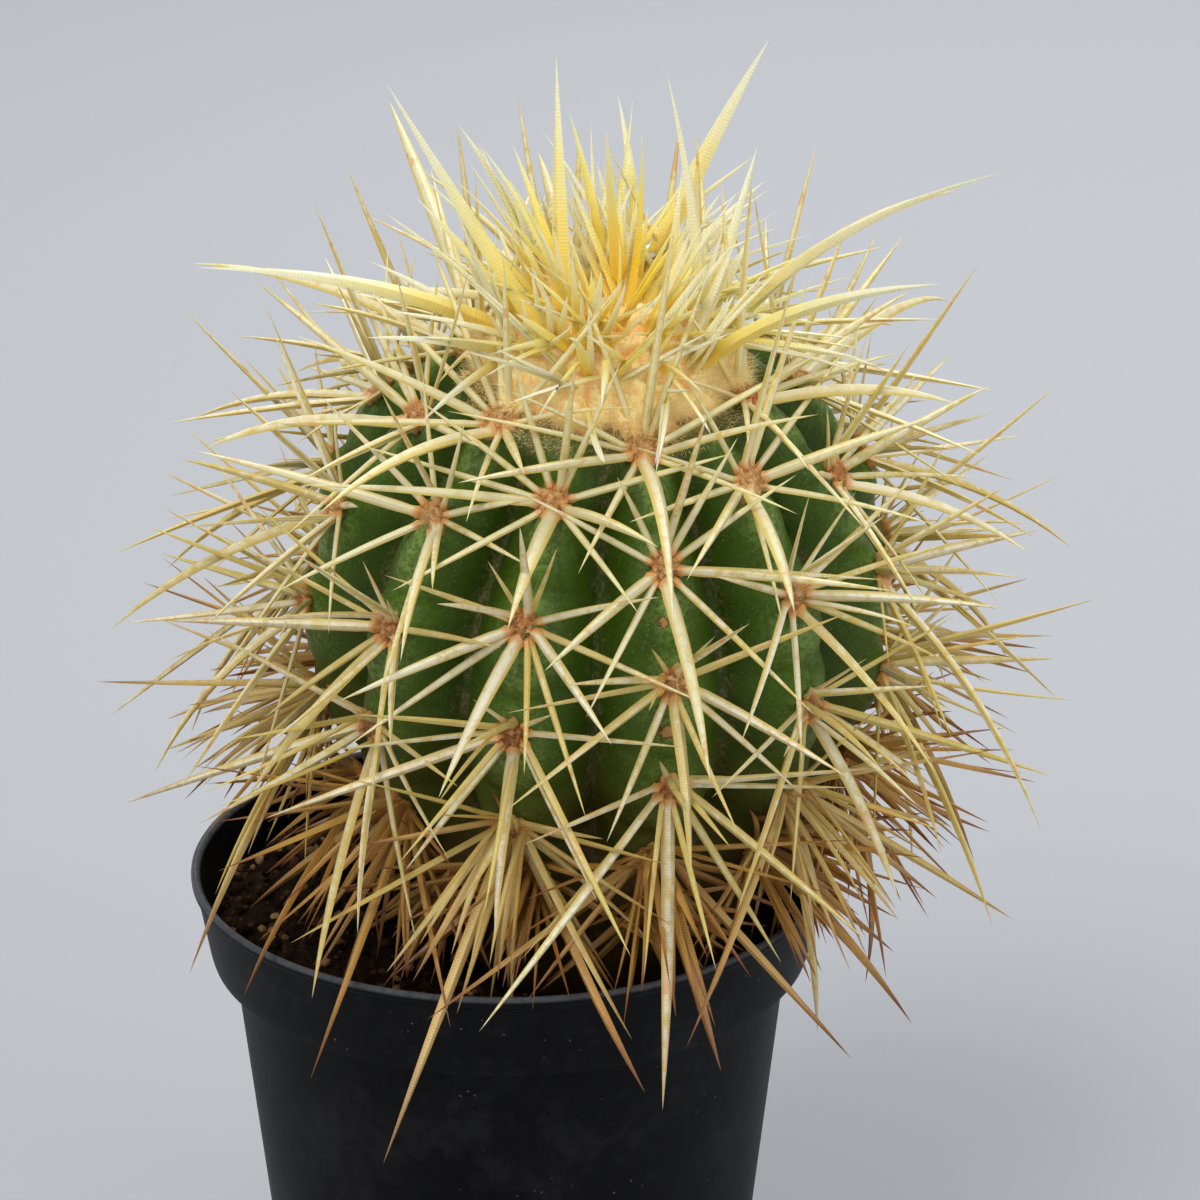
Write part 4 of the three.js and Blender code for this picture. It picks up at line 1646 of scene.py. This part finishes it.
    def build_wool(self) -> bpy.types.Object:
        """Builds the dome and its hair as one piece.

        Returns:
            The piece.
        """
        builder = MeshBuilder()
        steps = np.linspace(0, 1, self.wool_rings + 1)[1:]
        places = np.linspace(0, 1, len(self.wool_radii))
        radii = np.interp(steps, places, self.wool_radii)
        heights = np.interp(steps, places, self.wool_heights)
        turns = turns_of(self.wool_segments)
        upright = np.stack(np.broadcast_arrays(
            radii[:, None] * np.sin(turns), -radii[:, None] * np.cos(turns), heights[:, None]), -1)
        tuft = self._tufts(upright)
        lobes = 0.5 + 0.5 * np.cos((turns - math.radians(self.plant.first_rib)) * self.plant.ribs)
        skirt = smooth(steps, 0.55, 0.80)[:, None] * (0.10 * lobes + 0.05 * Ripple(6, 12).at(upright))
        upright[..., :2] *= (1 + skirt)[..., None]
        lump = Ripple(5, 6).at(upright)
        lumps = 1.0 + 0.012 * lump + 0.0025 * Ripple(2.2, 7).at(upright)
        grown = upright * (lumps * (1 + 0.034 * tuft))[..., None]
        rings = self.plant.lean(grown, 0.0)
        top = self.plant.lean(np.array([0, 0, self.wool_heights[0]]), 0.0)
        under = self.plant.lean(np.array([0, 0, self.wool_heights[-1]]), 0.0)
        points, faces = closed_rings(top, rings, under)
        edge = np.broadcast_to(smooth(steps, 0.62, 0.92)[:, None], tuft.shape)
        # Tone: more orange on the young areoles' tufts; lighter where the dome's lumps bulge out and
        # darker in their hollows, which is painted shade.
        shade = 0.75 - 0.6 * tuft + 0.25 * lump
        tone = np.concatenate([[0.4], shade.ravel(), [0.5]])
        builder.add(points * MM, faces, edge=np.concatenate([[0.0], edge.ravel(), [1.0]]), tone=tone)
        self._add_hairs(builder, rings, top, edge, shade)
        self._add_fringe(builder)
        # The wool is a little emissive: painted light in place of light passing through the fuzz.
        finish = FeltFinish("crown_felt", inner=(1.000, 0.590, 0.200), outer=(1.000, 0.830, 0.400),
                            dusty=(0.980, 0.670, 0.270), painted_glow=0.14)
        piece = builder.build("crown_wool", finish.material(), Slot.WOOL)
        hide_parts("crown")
        return piece

    def _tufts(self, upright: np.ndarray) -> np.ndarray:
        """Says how close each point of the dome is to a young areole.

        Args:
            upright: Points of the upright dome.

        Returns:
            Numbers from 0 to 1, which is on an areole.
        """
        way = unit(upright)
        best = np.zeros(way.shape[:-1])
        for angle, azimuth in self.areoles():
            t, a = math.radians(angle), math.radians(azimuth)
            spot = np.array([math.sin(t) * math.sin(a), -math.sin(t) * math.cos(a), math.cos(t)])
            apart = np.degrees(np.arccos(np.clip(way @ spot, -1, 1)))
            best = np.maximum(best, 1 - smooth(apart, 0.5, 4.5))
        return best

    def _add_hairs(self, builder: MeshBuilder, rings: np.ndarray, top: np.ndarray, edge: np.ndarray,
                   shade: np.ndarray) -> None:
        """Adds the hair that stands out of the dome, longer and combed outward at its edge.

        Args:
            builder: The piece that it goes into.
            rings: Points of the dome, ring by ring.
            top: The dome's top.
            edge: How close each point is to the dome's edge.
            shade: Tone of each point.
        """
        rng = np.random.default_rng(SEED)
        count = self.wool_hairs
        axis = unit(top - self.plant.middle)
        last = int(len(edge) * self.hairy_share)
        row = np.minimum(last, (last * np.sqrt(rng.random(count))).astype(int))
        column = rng.integers(edge.shape[1], size=count)
        roots, share = rings[row, column], edge[row, column][:, None]
        roots = roots + rng.uniform(-0.5, 0.5, (count, 3))
        outward = unit(roots - top + axis * 0.01)
        normals = unit(axis * (1.1 - 0.7 * share) + outward * (0.45 + 0.6 * share))
        hair = HairForm(0.12, sink=0.35, wildness=0.7, lengths=(0.6, 1.9), bend=0.45)
        grown = hair.grow(rng, roots, normals, normals, 1 + 1.2 * share)
        hair.add(builder, *grown, edge=share[:, 0] * 0.8,
                 tone=shade[row, column] + rng.uniform(-0.55, 0.5, count))

    def _add_fringe(self, builder: MeshBuilder) -> None:
        """Adds the sparse fuzz that has spread from the dome over the skin around it.

        Args:
            builder: The piece that it goes into.
        """
        rng = np.random.default_rng(SEED + 1)
        plant, count = self.plant, self.fringe_hairs
        azimuth = rng.uniform(0, 360, count)
        angle = self.fringe_start + self.fringe_width * rng.random(count) ** 1.8
        roots = plant.polar(angle, azimuth, plant.skin_distance(angle, azimuth))
        normals = unit(roots - plant.middle)
        outward = (plant.polar(angle + 1, azimuth, self.degree_radius)
                   - plant.polar(angle, azimuth, self.degree_radius))
        hair = HairForm(0.09, sink=0.2, wildness=0.5, lengths=(0.5, 1.7), bend=0.3)
        grown = hair.grow(rng, roots, normals, normals * 0.6 + outward * 0.6, 1.0)
        hair.add(builder, *grown, edge=rng.uniform(0.3, 0.9, count), tone=rng.uniform(0.4, 1.0, count))


# ---- Pot and soil -------------------------------------------------------------------------------


@dataclass
class Pot:
    """The black nursery pot: a thin wall with a step under its collar and a rounded lip."""

    height: float = 92.0
    rim_radius: float = 52.5
    collar_foot_radius: float = 49.5
    collar_height: float = 15.0
    wall_top_radius: float = 46.0
    base_radius: float = 37.6
    wall: float = 1.3
    floor: float = 1.6
    drains: int = 8
    drain_radius: float = 3.0
    drain_ring: float = 30.0
    drain_segments: int = 24
    drain_sharp: float = 38.0
    segments: int = 192
    unroundness: float = 0.0012

    @property
    def collar_foot(self) -> float:
        """Height of the step under the collar."""
        return self.height - self.collar_height

    def bore(self, height: float) -> float:
        """Measures the inside of the wall.

        Args:
            height: A height over the ground.

        Returns:
            The inner radius there.
        """
        if height < self.collar_foot + self.wall:
            share = height / self.collar_foot
            return self.base_radius + (self.wall_top_radius - self.base_radius) * share - self.wall
        share = (height - self.collar_foot) / self.collar_height
        flare = self.rim_radius - self.collar_foot_radius
        return self.collar_foot_radius + flare * share - self.wall - 0.1

    def profile(self) -> list[tuple[float, float]]:
        """Draws the wall's outline.

        Returns:
            Radius and height from the middle of the underside, up the outside and down the inside.
        """
        base, wall_top, step = self.base_radius, self.wall_top_radius, self.collar_foot_radius
        top, foot, rim = self.height, self.collar_foot, self.rim_radius
        ledge = foot + self.wall
        outside = [(base - 3.0, 0.0), (base - 1.0, 0.05), (base - 0.3, 0.4), (base, 1.0),
                   (base + 0.1, 2.0)]
        outside += [(base + (wall_top - base) * share, foot * share)
                    for share in np.linspace(0.05, 0.98, 16)]
        outside += [(wall_top - 0.02, foot - 1.1), (wall_top + 0.35, foot - 0.55),
                    (step - 0.7, foot - 0.1), (step - 0.15, foot + 0.1), (step, foot + 0.55)]
        outside += [(step + (rim - 0.35 - step) * share, foot + self.collar_height * share)
                    for share in np.linspace(0.12, 0.86, 7)]
        lip = [(rim - 0.30, top - 1.75), (rim - 0.05, top - 1.45), (rim, top - 0.9),
               (rim - 0.06, top - 0.45), (rim - 0.25, top - 0.12), (rim - 0.55, top),
               (rim - 0.85, top - 0.06), (rim - 1.1, top - 0.25),
               (self.bore(top - 0.6) + 0.05, top - 0.6)]
        heights = [top - 1.2, *np.linspace(top - 3, ledge + 0.6, 8), ledge - 0.1,
                   *np.linspace(ledge - 4, self.floor + 0.5, 6)]
        inside = [(self.bore(height), height) for height in heights]
        return outside + lip + inside + [(self.bore(self.floor) - 0.4, self.floor)]

    def build(self) -> bpy.types.Object:
        """Builds the shell with its drain holes.

        Returns:
            The piece.
        """
        radii, heights = np.array(self.profile()).T[..., None]
        turns = turns_of(self.segments, -1)
        x, y = radii * np.cos(turns), radii * np.sin(turns)
        rings = np.stack(np.broadcast_arrays(x, y, heights), -1) * MM
        rings[..., :2] *= (1 + self.unroundness * np.cos(2 * turns + 0.6))[None, :, None]
        builder = MeshBuilder()
        builder.add(*closed_rings(np.zeros(3), rings, UP * self.floor * MM))
        piece = builder.build("pot_shell", PotFinish().material(), Slot.POT)
        self._drill(piece)
        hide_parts("pot")
        return piece

    def _drill(self, piece: bpy.types.Object) -> None:
        """Cuts the drain holes out of the floor.

        Args:
            piece: The shell.
        """
        tool = MeshBuilder()
        turns = turns_of(self.drain_segments, -1)
        for i in range(self.drains):
            middle = 2 * math.pi * (i + 0.5) / self.drains
            centre = self.drain_ring * math.cos(middle), self.drain_ring * math.sin(middle)
            rings = np.stack([level_ring(centre, self.drain_radius, height, turns)
                              for height in (-4.0, 4 * self.floor)])
            points, faces = closed_rings(rings[0].mean(0), rings, rings[1].mean(0))
            tool.add(points * MM, faces)
        cutter = place_object("drain_cutter", tool.mesh("drain_cutter"))
        cut = piece.modifiers.new("drains", "BOOLEAN")
        cut.operation = "DIFFERENCE"
        cut.solver = "EXACT"
        cut.object = cutter
        cut_piece = piece.evaluated_get(bpy.context.evaluated_depsgraph_get())
        drilled = bpy.data.meshes.new_from_object(cut_piece)
        piece.modifiers.clear()
        piece.data = drilled
        bpy.data.objects.remove(cutter)
        smooth_shade(drilled, self.drain_sharp)


@dataclass
class Soil:
    """The bed of peat with a socket for the plant's foot, and the crumbs and grit on it."""

    plant: Plant
    pot: Pot
    level: float = 82.5
    gap: float = 0.35
    socket_angle: float = 135.0
    overlap: float = 1.5
    side_heights: tuple[float, ...] = (60.0, 40.0, 20.0)
    segments: int = 150
    steps: int = 34
    swell: float = 0.9
    grains: int = 2400
    pale_share: float = 0.07

    def socket_radius(self) -> float:
        """Measures the hole that the foot stands in.

        Returns:
            Its radius at the soil's surface.
        """
        reach = float(self.plant.crest_distance(self.socket_angle)) + self.plant.bulge
        return reach * math.sin(math.radians(self.socket_angle)) - self.overlap

    def surface(self, share: np.ndarray | float, turn: np.ndarray | float) -> np.ndarray:
        """Places points on the rough top of the bed.

        Args:
            share: Shares of the way from the socket to the wall.
            turn: Turns about the middle, in radians.

        Returns:
            The points, one row each.
        """
        inner = self.socket_radius()
        outer = self.pot.bore(self.level) - self.gap
        cx, cy = self.plant.centre[:2]
        x = (1 - share) * (cx + inner * np.cos(turn)) + share * outer * np.cos(turn)
        y = (1 - share) * (cy + inner * np.sin(turn)) + share * outer * np.sin(turn)
        flat = np.stack(np.broadcast_arrays(x, y, 0.0), -1)
        rough = Ripple(9, 8).at(flat) * 0.55 + Ripple(2.6, 9).at(flat) * 0.28
        calm = 1 - smooth(share, 0.93, 1.0)
        flat[..., 2] = self.level + 0.4 + (0.5 + rough) * self.swell * calm
        return flat

    def build_bed(self) -> bpy.types.Object:
        """Builds the bed: its top, its wall side, its underside and the socket.

        Returns:
            The piece.
        """
        turns = turns_of(self.segments, -1)
        middle, bottom, edge = self.plant.middle, self.plant.foot_depth, self.plant.foot_edge
        ledge, under = self.pot.collar_foot + self.pot.wall, self.pot.floor + self.gap
        foot = self.plant.foot_radius + self.gap
        sides = [level_ring((0.0, 0.0), self.pot.bore(height) - self.gap, height, turns)
                 for height in (under, *self.side_heights[::-1], ledge - 0.1, ledge + 0.75)]
        top = [self.surface(share, turns) for share in np.linspace(0, 1, self.steps)[::-1]]
        socket = [level_ring(middle[:2], radius, middle[2] - depth, turns)
                  for radius, depth in ((foot + edge + 0.1, bottom - edge), (foot, bottom + self.gap))]
        hollow = middle - UP * (bottom + self.gap)
        points, faces = closed_rings(UP * under, np.stack(sides + top + socket), hollow)
        tone = 0.30 + 0.10 * Ripple(3, 10).at(points) + 0.08 * Ripple(1.2, 11).at(points)
        builder = MeshBuilder()
        builder.add(points * MM, faces, tone=tone)
        piece = builder.build("soil_bed", SoilFinish().material(), Slot.SOIL)
        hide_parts("soil")
        return piece

    def build_grit(self) -> bpy.types.Object:
        """Builds the crumbs and grit that lie on the bed.

        Returns:
            The piece.
        """
        builder = MeshBuilder()
        rng = np.random.default_rng(SEED + 5)
        corners, faces = ball(1)
        for _ in range(self.grains):
            share, turn = 1 - 0.97 * rng.random() ** 1.4, rng.uniform(0, 2 * math.pi)
            pale = rng.random() < self.pale_share
            size = rng.uniform(0.7, 1.25) if pale else 0.35 + 0.9 * rng.random() ** 2
            at = self.surface(min(share, 0.97), turn)
            stretch = rng.uniform(0.55, 1.15, 3) * size
            turned = np.array(Matrix.Rotation(rng.uniform(0, 6.28), 3, Vector(rng.normal(size=3))))
            rough = corners * (1 + rng.uniform(-0.22, 0.22, (len(corners), 1))) * stretch
            tone = rng.uniform(0.70, 0.93) if pale else 0.12 + 0.55 * rng.random()
            builder.add((rough @ turned.T + at + UP * size * 0.25) * MM, faces, tone=tone)
        return builder.build("soil_grit", SoilFinish("grit").material(), Slot.SOIL)


def ball(levels: int) -> tuple[np.ndarray, list[tuple[int, ...]]]:
    """Makes a ball of radius 1 by splitting an octahedron.

    Args:
        levels: How many times each triangle is split in four.

    Returns:
        The corners and the faces.
    """
    points = [np.array(p, float) for p in
              ((1, 0, 0), (-1, 0, 0), (0, 1, 0), (0, -1, 0), (0, 0, 1), (0, 0, -1))]
    faces = [(0, 2, 4), (2, 1, 4), (1, 3, 4), (3, 0, 4), (2, 0, 5), (1, 2, 5), (3, 1, 5), (0, 3, 5)]
    for _ in range(levels):
        middles: dict[tuple[int, int], int] = {}
        split = []
        for a, b, c in faces:
            mids = []
            for i, j in ((a, b), (b, c), (c, a)):
                key = (min(i, j), max(i, j))
                if key not in middles:
                    middles[key] = len(points)
                    points.append(unit(points[i] + points[j]))
                mids.append(middles[key])
            ab, bc, ca = mids
            split += [(a, ab, ca), (ab, b, bc), (ca, bc, c), (ab, bc, ca)]
        faces = split
    return np.array(points), faces


# ---- Studio -------------------------------------------------------------------------------------


@dataclass(frozen=True)
class Softbox:
    """A square light that looks at the plant; lengths are metres and power is watts."""

    name: str
    place: tuple[float, float, float]
    size: float
    power: float
    colour: Colour


@dataclass
class Studio:
    """Camera, soft lights and a plain pale floor."""

    camera_distance: float = 0.700
    camera_pitch: float = 21.2
    focal_pixels: float = 4335.0
    image_size: float = 1200.0
    sensor: float = 36.0
    target: tuple[float, float, float] = (0.0149, 0.0, 0.1376)
    floor_half: float = 4.0
    sky_colour: Colour = (0.88, 0.90, 0.94)
    sky_strength: float = 0.42
    softboxes: tuple[Softbox, ...] = (
        Softbox("key", (-0.55, -0.75, 1.35), 0.9, 15.5, (1.0, 0.985, 0.96)),
        Softbox("fill", (0.95, -0.75, 0.75), 1.0, 6.0, (0.94, 0.97, 1.0)),
        Softbox("back", (0.25, 1.0, 1.2), 1.1, 15.0, (0.97, 0.985, 1.0)),
    )

    def place_camera(self) -> None:
        """Looks along +Y from the photograph's height."""
        data = bpy.data.cameras.new("camera")
        data.sensor_width = self.sensor
        data.lens = self.focal_pixels / self.image_size * self.sensor
        camera = place_object("camera", data)
        pitch = math.radians(self.camera_pitch)
        back = Vector((0, -math.cos(pitch), math.sin(pitch))) * self.camera_distance
        camera.location = Vector(self.target) + back
        camera.rotation_euler = (math.pi / 2 - pitch, 0, 0)
        bpy.context.scene.camera = camera

    def place_lights(self) -> None:
        """Soft light from above and in front, a fill, a light behind, and a pale sky."""
        for box in self.softboxes:
            data = bpy.data.lights.new(box.name, "AREA")
            data.size = box.size
            data.energy = box.power
            data.color = box.colour
            light = place_object(box.name, data)
            way = Vector(self.target) - Vector(box.place)
            light.location = box.place
            light.rotation_euler = way.to_track_quat("-Z", "Y").to_euler()
        world = bpy.data.worlds.new("sky")
        world.use_nodes = True
        sky = world.node_tree.nodes["Background"]
        sky.inputs["Color"].default_value = (*self.sky_colour, 1.0)
        sky.inputs["Strength"].default_value = self.sky_strength
        bpy.context.scene.world = world
        bpy.context.scene.view_settings.view_transform = "Standard"

    def lay_floor(self) -> None:
        """A plain floor under the pot."""
        half = self.floor_half
        mesh = bpy.data.meshes.new("floor")
        corners = [(-half, -half, 0), (half, -half, 0), (half, half, 0), (-half, half, 0)]
        mesh.from_pydata(corners, [], [(0, 1, 2, 3)])
        mesh.materials.append(FloorFinish().material())
        floor = place_object("floor", mesh)


# ---- The object ---------------------------------------------------------------------------------


def report(*pieces: bpy.types.Object) -> None:
    """Logs how fine new pieces are.

    Args:
        pieces: The pieces.
    """
    for piece in pieces:
        mesh = piece.data
        LOG.info("%s: %d points, %d faces", piece.name, len(mesh.vertices), len(mesh.polygons))


def main() -> None:
    """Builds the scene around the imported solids."""
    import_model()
    studio = Studio()
    studio.place_camera()
    studio.place_lights()
    studio.lay_floor()
    plant = Plant()
    pot = Pot()
    report(pot.build())
    soil = Soil(plant, pot)
    report(soil.build_bed(), soil.build_grit())
    report(CactusBody(plant).build())
    report(AreoleFelt(plant).build())
    side = SideSpines(plant, Clearance())
    report(*side.build())
    crown = Crown(plant, side.solid_spines())
    report(crown.build_wool(), crown.build_spines())


if __name__ == "__main__":
    logging.basicConfig(level=logging.INFO, format="%(message)s")
    main()
